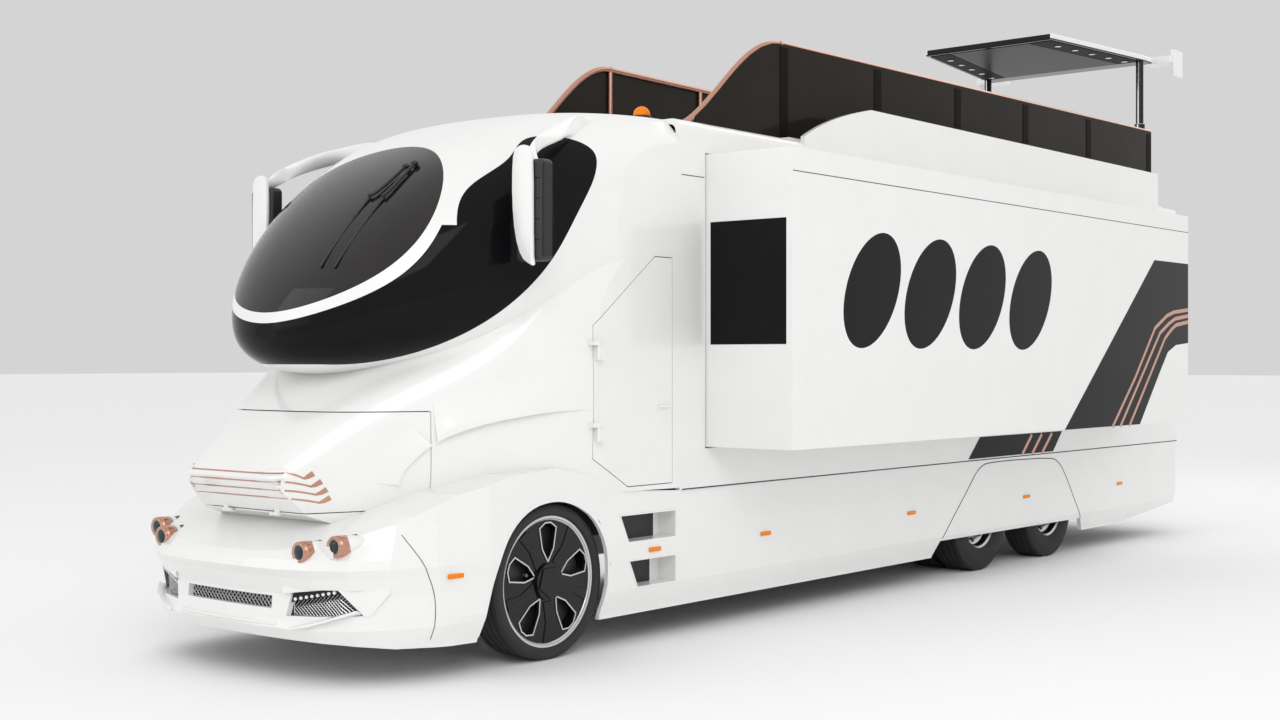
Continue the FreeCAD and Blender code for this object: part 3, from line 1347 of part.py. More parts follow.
SPOKE_SHARE = 0.7
node("steering_wheel", solid(steering_wheel()))
shaft_bore = solid(Part.makeCylinder(float(s.column_radius + s.bearing_gap), float(s.column_long) * 2,
                                     column_low - column_line * float(s.column_long) / 2, column_line))
nodes["cab_deck"] = cut(nodes["cab_deck"], shaft_bore)
nodes["cab_deck"].Label = "cab_deck"


# Mirrors on arms from the roof, and the lamps

ARM_SHARES = [(0.0, 1.0), (0.22, 1.0), (0.48, 0.92), (0.72, 0.8), (0.90, 0.72), (1.0, 0.66)]


def oval_ring(centre, along, deep, thick):
    """A closed oval across a direction, deep in the plane that the arm bends in and thick across it."""
    side = along.cross(Vector(0, 1, 0)).normalize()
    flat = along.cross(side).normalize()
    return Part.Wire([Part.Ellipse(centre + side * deep, centre + flat * thick, centre).toShape()])


def mirror_arm():
    """A flat faired horn that runs forward from the roof's edge and turns down to the mirror's head."""
    root = Vector(float(s.arm_root_x), float(s.arm_root_y), float(s.arm_root_z))
    bend = Vector(float(s.arm_bend_x), float(s.arm_bend_y), float(s.arm_bend_z))
    tip = Vector(float(s.arm_bend_x), float(s.arm_tip_y), float(s.arm_tip_z + s.mirror_high))
    curve = Part.BezierCurve()
    rise = Vector(float(s.arm_rise_x), float(s.arm_rise_y), float(s.arm_rise_z))
    curve.setPoles([root, rise, bend + Vector(0, 0, float(s.arm_deep)), tip])
    rings = []
    for along, scale in ARM_SHARES:
        direction = curve.tangent(along)[0] if along < 1 else Vector(0, 0, -1)
        rings.append(oval_ring(curve.value(along), direction, float(s.arm_deep) * scale, float(s.arm_thick) * scale))
    return Part.makeLoft(rings, True, False)


arm = mirror_arm()
node("mirror_left", solid(arm.cut(pod_grown.Shape)))
node("mirror_right", solid(arm.mirror(Vector(0, 0, 0), Vector(0, 1, 0)).cut(pod_grown.Shape)))


def mirror_head():
    """The black housing under the arm: rounded all round, with grooves across its front."""
    low = Vector(float(s.arm_bend_x) - float(s.mirror_thick) / 2, float(s.arm_tip_y) - float(s.mirror_wide) / 2,
                 float(s.arm_tip_z))
    high = float(s.mirror_high) - float(gap)
    block = Part.makeBox(float(s.mirror_thick), float(s.mirror_wide), high, low)
    block = block.makeFillet(float(s.mirror_round), block.Edges)
    groove = float(s.mirror_groove)
    grooves = [
        Part.makeBox(float(s.mirror_thick), float(s.mirror_wide), groove,
                     Vector(low.x + float(s.mirror_thick) - groove, low.y, low.z + high * share))
        for share in GROOVE_SHARES
    ]
    return block.cut(grooves)


GROOVE_SHARES = [0.2, 0.4, 0.6, 0.8]
head_left = solid(mirror_head())
node("mirror_head_left", head_left)
node("mirror_head_right", mirrored(head_left))

lamps = fuse(
    cylinder(s.lamp_radius, s.lamp_long, s.lamp_inner_x, s.lamp_inner_y, s.lamp_inner_z, "X"),
    cylinder(s.lamp_radius, s.lamp_long, s.lamp_outer_x, s.lamp_outer_y, s.lamp_outer_z, "X"),
    lamp_bar(ZERO),
)
node("head_lamps_left", lamps)
node("head_lamps_right", mirrored(lamps))


doc.recompute()
broken = []
for piece in doc.Objects:
    if "Invalid" in piece.State or "Error" in piece.State:
        broken.append(f"{piece.Name} ({piece.Label}) is in an error state")
    shape = getattr(piece, "Shape", None)
    if shape is not None and (shape.isNull() or not shape.isValid()):
        broken.append(f"{piece.Name} ({piece.Label}) has no valid shape")
if broken:
    raise RuntimeError("; ".join(broken))

os.makedirs(OUT_FOLDER, exist_ok=True)
for name, piece in nodes.items():
    piece.Shape.exportStep(os.path.join(OUT_FOLDER, f"{name}.step"))
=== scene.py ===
"""Looks of a three-axle motorhome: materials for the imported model, trim, wheels, lamps, stage and camera."""

import math

import bpy
from bpy.props import FloatProperty, FloatVectorProperty, IntProperty, PointerProperty
from mathutils import Matrix, Vector


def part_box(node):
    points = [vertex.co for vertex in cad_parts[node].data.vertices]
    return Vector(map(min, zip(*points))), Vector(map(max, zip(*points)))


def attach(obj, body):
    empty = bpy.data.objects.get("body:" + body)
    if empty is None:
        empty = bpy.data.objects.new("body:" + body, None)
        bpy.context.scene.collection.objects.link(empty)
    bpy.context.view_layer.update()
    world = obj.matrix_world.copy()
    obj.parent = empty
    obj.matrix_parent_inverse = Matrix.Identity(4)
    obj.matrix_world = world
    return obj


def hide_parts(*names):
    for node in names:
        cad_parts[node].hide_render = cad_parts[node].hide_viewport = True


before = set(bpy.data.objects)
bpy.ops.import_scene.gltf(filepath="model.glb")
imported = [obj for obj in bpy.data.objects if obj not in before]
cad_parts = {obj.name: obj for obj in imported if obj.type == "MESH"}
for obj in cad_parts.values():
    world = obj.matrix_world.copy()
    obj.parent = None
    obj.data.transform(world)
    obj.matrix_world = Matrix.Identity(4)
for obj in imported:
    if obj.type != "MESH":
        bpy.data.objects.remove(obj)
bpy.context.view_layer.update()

bl_info = {
    "name": "Motorhome looks",
    "version": (1, 0, 0),
    "blender": (4, 5, 0),
    "location": "View3D > Sidebar > Motorhome",
    "description": "Finishes, trim, lamps, wheels and stage of a three-axle motorhome",
    "category": "Object",
}

HALF_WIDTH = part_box("house_shell")[1][1]
ROOM_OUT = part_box("slide_room")[1][1]
BODY = "vehicle_body"
LEFT, UP, AHEAD = Vector((0.0, 1.0, 0.0)), Vector((0.0, 0.0, 1.0)), Vector((1.0, 0.0, 0.0))
QUARTER_TURN = math.radians(90)
FAR_OUT = 4.0
LAID_GAP, NOT_MOVED = 0.0003, 0.0001
WIDEST_BEND = 0.35
MATERIALS = {}


# Working by hand, in code

def alone(piece):
    """Makes a piece the only one selected, and active."""
    bpy.ops.object.select_all(action="DESELECT")
    piece.select_set(True)
    bpy.context.view_layer.objects.active = piece


def fixed(piece):
    """Applies a piece's place, turn and scale to its mesh."""
    alone(piece)
    bpy.ops.object.transform_apply(location=True, rotation=True, scale=True)
    return piece


def shaded(piece, degrees):
    """Shades a piece smooth apart from its edges sharper than an angle."""
    alone(piece)
    bpy.ops.object.shade_smooth_by_angle(angle=math.radians(degrees))
    return piece


def painted(piece, material):
    piece.data.materials.clear()
    piece.data.materials.append(MATERIALS[material])
    return piece


def primitive(kind, name, **settings):
    """Adds a mesh primitive with nothing else selected."""
    bpy.ops.object.select_all(action="DESELECT")
    getattr(bpy.ops.mesh, "primitive_%s_add" % kind)(**settings)
    piece = bpy.context.object
    piece.name = name
    return piece


def enter(piece):
    """Goes into edit mode with the whole mesh selected."""
    alone(piece)
    bpy.ops.object.mode_set(mode="EDIT")
    bpy.ops.mesh.select_all(action="SELECT")


def leave():
    bpy.ops.object.mode_set(mode="OBJECT")


def apply_modifiers(piece):
    alone(piece)
    for modifier in list(piece.modifiers):
        bpy.ops.object.modifier_apply(modifier=modifier.name)


def walled(piece, thick, side=1.0):
    """Gives a sheet its thickness, outwards, or inwards with a side of minus one."""
    wall = piece.modifiers.new("wall", "SOLIDIFY")
    wall.thickness = thick
    wall.offset = side
    apply_modifiers(piece)
    return piece


def bevelled(piece, width, segments=2):
    """Rounds a piece's edges."""
    edge = piece.modifiers.new("edge", "BEVEL")
    edge.width = width
    edge.segments = segments
    apply_modifiers(piece)
    return piece


def place(piece, material, body=BODY, smooth=None):
    """Applies a piece's place, gives it its finish and lets it ride on a body."""
    fixed(piece)
    if smooth:
        shaded(piece, smooth)
    painted(piece, material)
    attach(piece, body)
    return piece


def doubled(piece):
    """A copy of a piece with its own mesh."""
    twin = piece.copy()
    twin.data = piece.data.copy()
    bpy.context.collection.objects.link(twin)
    return twin


def copied(piece, name, move=(0.0, 0.0, 0.0), body=BODY, mirror=False, spin=0.0):
    """A copy that is turned about the Y axis, moved and mirrored to the other side."""
    twin = doubled(piece)
    twin.name = name
    change = Matrix.Translation(Vector(move)) @ Matrix.Rotation(spin, 4, "Y")
    if mirror:
        change = Matrix.Scale(-1.0, 4, LEFT) @ change
    twin.data.transform(change)
    if mirror:
        twin.data.flip_normals()
    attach(twin, body)
    return twin


def both(piece, material, body=BODY, smooth=None):
    """Places a piece of the left side and mirrors it to the right."""
    place(piece, material, body, smooth)
    copied(piece, piece.name.replace("_left", "") + "_right", body=body, mirror=True)


def pair(form, name, material, spot, body=BODY):
    """Copies a form to a spot on the left and to the same spot on the right."""
    for side in ("left", "right"):
        twin = copied(form, "%s_%s" % (name, side), move=spot, body=body, mirror=side == "right")
        painted(twin, material)


def joined(pieces, name):
    """Joins pieces into the first one."""
    bpy.ops.object.select_all(action="DESELECT")
    for piece in pieces:
        piece.select_set(True)
    bpy.context.view_layer.objects.active = pieces[0]
    if len(pieces) > 1:
        bpy.ops.object.join()
    pieces[0].name = name
    return pieces[0]


def skin_of(*nodes):
    """A merged copy of some nodes' surfaces, to lay strips on; it is taken away after use."""
    return joined([doubled(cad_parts[node]) for node in nodes], "skin_for_strips")


def taken_away(*pieces):
    for piece in pieces:
        mesh = piece.data
        bpy.data.objects.remove(piece)
        bpy.data.meshes.remove(mesh)


def met(node, spot, way):
    """Where a line from a spot meets a node's surface, or None."""
    hit, found, _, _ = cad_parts[node].ray_cast(Vector(spot), way)
    return found if hit else None


def surface_x(node, y, z):
    """Where a line from the front meets a node's surface, as x."""
    return met(node, (FAR_OUT, y, z), -AHEAD).x


def surface_y(node, x, z):
    """Where a line from the left meets a node's surface, as y."""
    return met(node, (x, FAR_OUT, z), -LEFT).y


def in_columns(piece):
    """A grid's points, column by column."""
    return sorted(piece.data.vertices, key=lambda vertex: (round(vertex.co.x, 5), vertex.co.y))


def face_out(piece, out):
    """Turns a sheet over where it looks away from a direction."""
    piece.data.update()
    if piece.data.polygons[0].normal.dot(out) < 0.0:
        piece.data.flip_normals()


def strip(name, route, width, out, thick, target=None, cuts=0):
    """A flat band along a route, seen from the side that out points to; it can be laid on a target."""
    route = [Vector(spot) for spot in route]
    last = len(route) - 1
    piece = primitive("grid", name, x_subdivisions=last, y_subdivisions=1, size=2.0)
    spots = in_columns(piece)
    widths = width if isinstance(width, (list, tuple)) else [width] * len(route)
    for number, middle in enumerate(route):
        before = (middle - route[number - 1]).normalized() if number else None
        after = (route[number + 1] - middle).normalized() if number < last else None
        along = (before or after) + (after or before)
        across = along.cross(out).normalized()
        spread = 1.0 / max(WIDEST_BEND, across.dot((after or before).cross(out).normalized()))
        reach = across * (widths[number] * 0.5 * spread)
        spots[2 * number].co = middle - reach
        spots[2 * number + 1].co = middle + reach
    face_out(piece, out)
    if cuts:
        enter(piece)
        bpy.ops.mesh.subdivide(number_cuts=cuts)
        leave()
    if target:
        lay(piece, target, out)
    return walled(piece, thick)


def lay(piece, target, out):
    """Lays a strip on a surface, against the direction it is seen from."""
    wrap = piece.modifiers.new("lay", "SHRINKWRAP")
    wrap.target = target
    wrap.wrap_method = "PROJECT"
    wrap.use_project_x, wrap.use_project_y, wrap.use_project_z = (abs(part) > 0.7 for part in out)
    wrap.use_negative_direction = sum(out) > 0.0
    wrap.use_positive_direction = sum(out) < 0.0
    wrap.offset = LAID_GAP
    before = [vertex.co.dot(out) for vertex in piece.data.vertices]
    apply_modifiers(piece)
    settle(piece, before, out)


def settle(piece, before, out):
    """Brings points that found no surface, as over a gap, to the depth of the nearest one that did."""
    spots = piece.data.vertices
    moves = [vertex.co.dot(out) - old for vertex, old in zip(spots, before)]
    found = [vertex.co.copy() for vertex, move in zip(spots, moves) if abs(move) > NOT_MOVED]
    for vertex, move in zip(spots, moves):
        if abs(move) <= NOT_MOVED:
            near = min(found, key=lambda spot: (spot - vertex.co).cross(out).length)
            vertex.co += out * (near - vertex.co).dot(out)


def tube(name, route, radius):
    """A round bar along a smooth route, made from a curve."""
    curve = bpy.data.curves.new(name, "CURVE")
    curve.dimensions = "3D"
    curve.bevel_depth = radius
    curve.bevel_resolution = 3
    curve.use_fill_caps = True
    spline = curve.splines.new("NURBS")
    spline.points.add(len(route) - 1)
    for point, spot in zip(spline.points, route):
        point.co = (*spot, 1.0)
    spline.order_u = 3
    spline.use_endpoint_u = True
    piece = bpy.data.objects.new(name, curve)
    bpy.context.collection.objects.link(piece)
    alone(piece)
    bpy.ops.object.convert(target="MESH")
    return bpy.context.object


def spun(name, profile, steps):
    """A ring turned about the Y axis from a closed profile of radius and Y, its faces outwards."""
    piece = primitive("circle", name, vertices=len(profile), radius=1.0, fill_type="NOTHING")
    for vertex, (radius, y) in zip(piece.data.vertices, profile):
        vertex.co = (radius, y, 0.0)
    enter(piece)
    bpy.ops.mesh.spin(steps=steps, angle=math.tau, center=(0.0, 0.0, 0.0), axis=(0.0, 1.0, 0.0))
    bpy.ops.mesh.select_all(action="SELECT")
    bpy.ops.mesh.remove_doubles(threshold=0.00002)
    bpy.ops.mesh.normals_make_consistent(inside=False)
    leave()
    return piece


def plate(name, corners, out, thick, bevel=0.0):
    """A flat plate over an outline of corners, its thickness standing out from their plane."""
    piece = primitive("circle", name, vertices=len(corners), radius=1.0, fill_type="NGON")
    for vertex, corner in zip(piece.data.vertices, corners):
        vertex.co = corner
    face_out(piece, out)
    walled(piece, thick)
    return bevelled(piece, bevel) if bevel else piece


def block(name, low, high, bevel, segments=2):
    """A block between two corners with rounded edges."""
    low, high = Vector(low), Vector(high)
    piece = primitive("cube", name, size=1.0, location=(low + high) / 2)
    piece.scale = high - low
    return bevelled(fixed(piece), bevel, segments)


def rounded(corners, rounds=2):
    """Cuts the corners of an open route a few times, which turns them into smooth bends."""
    for _ in range(rounds):
        cut = [corners[0]]
        for (ax, az), (bx, bz) in zip(corners, corners[1:]):
            cut.append((ax * 0.75 + bx * 0.25, az * 0.75 + bz * 0.25))
            cut.append((ax * 0.25 + bx * 0.75, az * 0.25 + bz * 0.75))
        corners = cut + [corners[-1]]
    return corners


def side_spots(route, y):
    return [Vector((x, y, z)) for x, z in route]


# Materials

def finish(name, color, roughness, metallic=0.0, coat=0.0, bump=0.03, scale=60.0, spread=0.03, shine=None):
    """A principled material with a fine noise bump and a slight colour variation, kept by its name."""
    material = bpy.data.materials.new(name)
    material.use_nodes = True
    nodes, links = material.node_tree.nodes, material.node_tree.links
    shader = nodes["Principled BSDF"]
    for socket, value in (("Roughness", roughness), ("Metallic", metallic), ("Coat Weight", coat),
                          ("Coat Roughness", 0.04)):
        shader.inputs[socket].default_value = value
    if shine is not None:
        shader.inputs["Specular IOR Level"].default_value = shine
    coordinates = nodes.new("ShaderNodeTexCoord")
    noise = nodes.new("ShaderNodeTexNoise")
    noise.inputs["Scale"].default_value = scale
    noise.inputs["Detail"].default_value = 3.0
    links.new(coordinates.outputs["Object"], noise.inputs["Vector"])
    grain = nodes.new("ShaderNodeBump")
    grain.inputs["Strength"].default_value = bump
    grain.inputs["Distance"].default_value = 0.002
    links.new(noise.outputs["Fac"], grain.inputs["Height"])
    links.new(grain.outputs["Normal"], shader.inputs["Normal"])
    ramp = nodes.new("ShaderNodeValToRGB")
    links.new(noise.outputs["Fac"], ramp.inputs["Fac"])
    links.new(ramp.outputs["Color"], shader.inputs["Base Color"])
    for stop, position, share in zip(ramp.color_ramp.elements, (0.3, 0.7), (1 - spread, 1 + spread)):
        stop.color = tuple(min(1.0, part * share) for part in color) + (1.0,)
        stop.position = position
    MATERIALS[name] = material
    return material


def build_materials(settings):
    """Every finish of the vehicle."""
    finish("white_paint", settings.paint, 0.28, coat=0.6, bump=0.01, scale=3.0, spread=0.012)
    finish("copper", settings.copper, 0.24, metallic=0.75, coat=0.5, bump=0.01, scale=8.0)
    finish("black_glass", settings.glass, 0.08, bump=0.003, scale=2.0, spread=0.1, shine=0.10)
    finish("tyre", (0.022, 0.022, 0.023), 0.75, bump=0.25, scale=220.0, spread=0.2)
    finish("chassis", (0.035, 0.035, 0.038), 0.6, bump=0.2, scale=40.0, spread=0.25)
    finish("engine", (0.12, 0.12, 0.125), 0.55, metallic=0.5, bump=0.3, scale=25.0, spread=0.25)
    finish("gloss_black", (0.008, 0.008, 0.009), 0.14, bump=0.005, scale=20.0, spread=0.1, shine=0.3)
    finish("satin_black", (0.02, 0.02, 0.021), 0.45, bump=0.1, scale=120.0, spread=0.15)
    finish("silver", (0.62, 0.62, 0.63), 0.2, metallic=1.0, bump=0.01, scale=50.0)
    finish("floor_panel", (0.2, 0.18, 0.16), 0.6, bump=0.15, scale=30.0, spread=0.15)
    finish("leather", (0.13, 0.08, 0.055), 0.5, bump=0.35, scale=260.0, spread=0.12)
    finish("lamp", (0.8, 0.84, 0.88), 0.08, coat=1.0, bump=0.01, scale=90.0, spread=0.06)
    finish("amber", (0.95, 0.24, 0.0), 0.25, bump=0.08, scale=160.0, spread=0.1, shine=0.2)
    finish("red_lens", (0.5, 0.015, 0.012), 0.16, coat=0.8, bump=0.08, scale=160.0, spread=0.1)
    finish("dark_lens", (0.008, 0.018, 0.020), 0.05, bump=0.002, scale=30.0, spread=0.1)
    finish("mesh_black", (0.015, 0.015, 0.016), 0.5, bump=0.3, scale=300.0, spread=0.2)
    finish("tyre_rear", (0.016, 0.016, 0.017), 0.8, bump=0.25, scale=220.0, spread=0.2)
    finish("smoked", (0.026, 0.021, 0.018), 0.32, bump=0.01, scale=6.0, spread=0.12, shine=0.06)
    finish("terrace_glass", (0.019, 0.015, 0.012), 0.14, bump=0.003, scale=2.0, spread=0.1, shine=0.08)
    finish("deep_black", (0.005, 0.0045, 0.004), 0.5, bump=0.01, spread=0.1, shine=0.05)
    finish("shut_line", (0.05, 0.05, 0.052), 0.7, bump=0.05, scale=90.0, spread=0.1)
    clear = finish("clear_glass", (0.016, 0.014, 0.013), 0.04, bump=0.002, scale=2.0, spread=0.1)
    clear.node_tree.nodes["Principled BSDF"].inputs["Alpha"].default_value = 0.86


def sides(*names):
    """Each name for the left side and for the right."""
    return tuple(name + side for name in names for side in ("_left", "_right"))


NODE_FINISHES = {
    "white_paint": ("front_bumper", "tail_skirt", "house_shell", "entrance_door", "slide_room",
                    "terrace_deck", "cab_shell", "cab_door_left", "bonnet", "windscreen_ring",
                    *sides("fender", "skirt", "spat", "parapet", "mirror", "head_lamps")),
    "black_glass": ("side_window_right", "rear_window", "room_oval_glass", "room_rear_glass",
                    "room_front_glass", "front_glass_band", *sides("side_glass")),
    "terrace_glass": sides("terrace_glass"),
    "clear_glass": ("windscreen",),
    "copper": sides("terrace_rail"),
    "tyre": sides("front_tyre", "drive_wheels", "tag_wheel"),
    "chassis": ("chassis_frame", "front_axle_beam", "drive_axle", "tag_axle", *sides("knuckle")),
    "engine": ("engine_block",),
    "gloss_black": ("canopy", *sides("front_wheel")),
    "satin_black": ("cab_deck", "steering_wheel", *sides("mirror_head")),
    "floor_panel": ("floor_pan",),
    "leather": ("driver_seat", "passenger_seat"),
}


# Settings

def color_setting(name, about, value):
    return FloatVectorProperty(name=name, description=about, subtype="COLOR", size=3, default=value,
                               min=0.0, max=1.0)


class MotorhomeSettings(bpy.types.PropertyGroup):
    """Colours of the vehicle and the place of the camera."""

    paint: color_setting("Paint", "Body colour", (0.86, 0.86, 0.85))
    copper: color_setting("Copper", "Trim colour", (0.56, 0.28, 0.19))
    glass: color_setting("Glass", "Dark glass colour", (0.006, 0.006, 0.007))
    floor_color: color_setting("Floor", "Floor colour", (0.95, 0.95, 0.95))
    stripe_width: FloatProperty(name="Stripe width", description="Width of the copper stripes",
                                unit="LENGTH", default=0.037, min=0.005, max=0.2)
    seam_width: FloatProperty(name="Seam width", description="Width of the panel joints", unit="LENGTH",
                              default=0.006, min=0.001, max=0.03)
    cove_level: FloatProperty(name="Cove level", description="Height of the line below the roof's round edge",
                              unit="LENGTH", default=3.253, min=2.0, max=3.4)
    tyre_steps: IntProperty(name="Tyre steps", description="Steps round each tyre", default=96, min=24,
                            max=256)
    camera_place: FloatVectorProperty(name="Camera", description="Camera position", subtype="TRANSLATION",
                                      size=3, default=(7.705, 8.38, 1.942))
    camera_turn: FloatProperty(name="Heading", description="Camera heading from +X", subtype="ANGLE",
                               default=math.radians(180 + 39.79))
    lens: FloatProperty(name="Lens", description="Focal length", default=45.63, min=10.0, max=200.0)


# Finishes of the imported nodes

class MOTORHOME_OT_finishes(bpy.types.Operator):
    """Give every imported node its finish"""

    bl_idname = "motorhome.finishes"
    bl_label = "Finishes"

    def execute(self, context):
        build_materials(context.scene.motorhome)
        for name, nodes in NODE_FINISHES.items():
            for node in nodes:
                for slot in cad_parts[node].material_slots:
                    slot.material = MATERIALS[name]
        return {"FINISHED"}


# Trim along the body

STRIPE_TURNS = (
    ((-8.735, 2.333), (-8.42, 2.297), (-8.30, 2.250), (-8.135, 2.162), (-7.759, 1.795), (-7.262, 1.312)),
    ((-8.735, 2.395), (-8.40, 2.360), (-8.24, 2.310), (-8.008, 2.211), (-7.515, 1.748), (-7.050, 1.312)),
    ((-8.735, 2.457), (-8.36, 2.425), (-8.18, 2.385), (-7.883, 2.258), (-7.395, 1.768), (-6.872, 1.312)),
)
LOWER_STRIPES = (((-6.519, 1.042), (-6.722, 1.222)), ((-6.729, 1.042), (-6.937, 1.222)),
                 ((-6.944, 1.042), (-7.156, 1.222)))
BAND_CORNERS = ((-5.683, 1.238), (-5.463, 1.043), (-7.185, 1.043), (-7.386, 1.236))
BAND_LIFT, BAND_THICK = 0.0004, 0.0016
LOWER_LIFT, LOWER_THICK = 0.0022, 0.0014
SEAM_LIFT, SEAM_THICK = 0.0003, 0.0008
CAB_END = -1.285
SPAT_OUTLINE = ((-4.996, 0.367), (-5.55, 0.86), (-5.68, 0.955), (-5.85, 1.002), (-7.12, 0.985),
                (-7.30, 0.945), (-7.43, 0.84), (-7.60, 0.63), (-7.836, 0.336))
MARKER_STATIONS = (0.87, -0.984, -2.304, -4.456, -6.61, -8.768)
MARKER_LEVEL = 0.634
VENT_SCREENS = (("upper", ((-1.14, 0.700), (-0.655, 0.700), (-0.62, 0.892), (-1.14, 0.892))),
                ("lower", ((-1.10, 0.386), (-0.72, 0.386), (-0.72, 0.578), (-1.10, 0.578))))
VENT_DEPTH = 0.146


def seam(name, start, end, level, wide, y, out, body=BODY):
    """A thin dark line along the vehicle's side."""
    line = strip(name, side_spots(((start, level), (end, level)), y), wide, out, SEAM_THICK)
    place(line, "shut_line", body)


class MOTORHOME_OT_stripes(bpy.types.Operator):
    """Lay the copper stripes and the dark band over the slide-out room and the body below it"""

    bl_idname = "motorhome.stripes"
    bl_label = "Stripes"

    def execute(self, context):
        wide = context.scene.motorhome.stripe_width
        for number, route in enumerate(STRIPE_TURNS):
            spots = side_spots(route, ROOM_OUT + BAND_LIFT)
            place(strip("room_stripe_%d" % number, spots, wide, LEFT, BAND_THICK), "copper", "slide_out_body")
        for number, route in enumerate(LOWER_STRIPES):
            spots = side_spots(route, HALF_WIDTH + LOWER_LIFT)
            place(strip("body_stripe_%d" % number, spots, wide, LEFT, LOWER_THICK), "copper")
        band = plate("body_band", side_spots(BAND_CORNERS, HALF_WIDTH + BAND_LIFT), LEFT, BAND_THICK)
        place(band, "black_glass")
        return {"FINISHED"}


class MOTORHOME_OT_seams(bpy.types.Operator):
    """Draw the panel joints: the line below the roof's round edge and the wheel spat outlines"""

    bl_idname = "motorhome.seams"
    bl_label = "Seams"

    def execute(self, context):
        thin, cove = context.scene.motorhome.seam_width, context.scene.motorhome.cove_level
        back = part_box("house_shell")[0][0] + 0.004
        (room_back, _, _), (room_front, _, _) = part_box("slide_room")
        seam("room_cove_line", room_back + 0.004, room_front - 0.004, cove, thin, ROOM_OUT + SEAM_LIFT, LEFT,
             "slide_out_body")
        y = HALF_WIDTH + SEAM_LIFT
        seam("cove_line_left", back, room_back - 0.02, cove, thin, y, LEFT)
        seam("cove_line_front", room_front + 0.02, CAB_END, cove, thin, y, LEFT)
        seam("cove_line_right", back, CAB_END, cove, thin, -y, -LEFT)
        for side, name in ((1.0, "left"), (-1.0, "right")):
            skin = skin_of("spat_" + name, "skirt_" + name, "tail_skirt")
            route = side_spots(rounded(SPAT_OUTLINE), (HALF_WIDTH + 0.2) * side)
            spat = strip("spat_line_" + name, route, thin * 1.5, LEFT * side, 0.0012, target=skin, cuts=1)
            place(spat, "shut_line")
            taken_away(skin)
        return {"FINISHED"}


class MOTORHOME_OT_markers(bpy.types.Operator):
    """Set a row of amber side markers into both skirts"""

    bl_idname = "motorhome.markers"
    bl_label = "Side markers"

    def execute(self, context):
        lens = block("marker_lens", (-0.062, -0.004, -0.015), (0.062, 0.012, 0.015), bevel=0.006, segments=3)
        for number, x in enumerate(MARKER_STATIONS):
            y = surface_y("fender_left", x, MARKER_LEVEL) if x > 0.5 else HALF_WIDTH
            pair(lens, "side_marker_%d" % number, "amber", (x, y, MARKER_LEVEL))
        taken_away(lens)
        return {"FINISHED"}


class MOTORHOME_OT_vents(bpy.types.Operator):
    """Close the two ducts behind each front wheel with a dark screen"""

    bl_idname = "motorhome.vents"
    bl_label = "Side vents"

    def execute(self, context):
        for name, corners in VENT_SCREENS:
            spots = side_spots(corners, HALF_WIDTH - VENT_DEPTH)
            both(plate("vent_screen_" + name, spots, LEFT, 0.004), "mesh_black")
        return {"FINISHED"}


# Wheels

WHEEL_SPREAD = 1.07
AXLE_HEIGHT = 0.505
DRIVE_AXLE, TAG_AXLE, TWIN_PITCH = -5.83, -7.24, 0.33
TYRE_HALF, TYRE_RADIUS = 0.145, 0.505
TYRE_ANGLE = 28
TYRE_SHARES = ((0.0, 0.80), (0.02, 0.86), (0.14, 0.955), (0.35, 0.998), (0.52, 0.99), (0.56, 0.998),
               (0.60, 0.985), (0.80, 0.955))
SHOULDER = ((0.009, 0.90), (0.001, 0.83))
GROOVE = ((0.035, 0.0), (0.028, 0.009), (-0.028, 0.009), (-0.035, 0.0))
RIM_RADIUS, RIM_FACE = 0.425, 0.110
RIM_LIP = ((0.398, 0.1105), (0.404, 0.1165), (0.419, 0.123), (0.428, 0.1215), (0.4285, 0.114),
           (0.420, 0.1105))
DISC = ((0.03, 0.030), (0.03, 0.046), (0.355, 0.046), (0.368, 0.038), (0.355, 0.030))
KITE_SHARES = ((0.30, 0.0), (0.50, -0.20), (0.82, -0.30), (0.90, -0.10), (0.90, 0.10), (0.82, 0.30),
               (0.50, 0.20))
KITE_SLIM = 0.62
SPOKE_SHARES = ((0.30, -0.10), (0.62, -0.045), (0.92, -0.10), (0.92, 0.10), (0.62, 0.045), (0.30, 0.10))
WINDOWS = 5
NUTS = 10
DISH = ((0.075, 0.020), (0.075, 0.032), (0.205, 0.034), (0.225, 0.046), (0.268, 0.058), (0.284, 0.110),
        (0.301, 0.122), (0.301, -0.118), (0.276, -0.118), (0.270, 0.040), (0.225, 0.030), (0.205, 0.020))
HUB = ((0.012, -0.10), (0.012, 0.118), (0.052, 0.116), (0.062, 0.104), (0.064, 0.060), (0.092, 0.052),
       (0.098, 0.036), (0.098, -0.10))
PEG_RINGS = (("rear_nuts", 0.0, 0.142, 0.048, 6, 0.0145, 0.032, "chassis"),
             ("rim_holes", 0.5, 0.232, 0.047, 20, 0.022, 0.014, "satin_black"))
FRONT_STATION = ((0.0, 0.0, "front", "front_left_spin_body", "front_right_spin_body"),)
TAG_STATION = (TAG_AXLE, 0.0, "tag", "tag_left_body", "tag_right_body")
DRIVE_STATION = (DRIVE_AXLE, 0.0, "drive", "drive_left_body", "drive_right_body")
DRIVE_INNER = (DRIVE_AXLE, TWIN_PITCH, "drive_inner", "drive_left_body", "drive_right_body")


def tyre_profile(inner):
    """Half a tyre's section from bead to middle, as radius and Y, mirrored into a closed outline."""
    depth = TYRE_RADIUS - inner
    half = [(inner + share * depth, wide * TYRE_HALF) for share, wide in TYRE_SHARES]
    half += [(TYRE_RADIUS - drop, wide * TYRE_HALF) for drop, wide in SHOULDER]
    for middle in (0.56, 0.20):
        half += [(TYRE_RADIUS - deep, (middle + offset) * TYRE_HALF) for offset, deep in GROOVE]
    return half + [(radius, -y) for radius, y in reversed(half)]


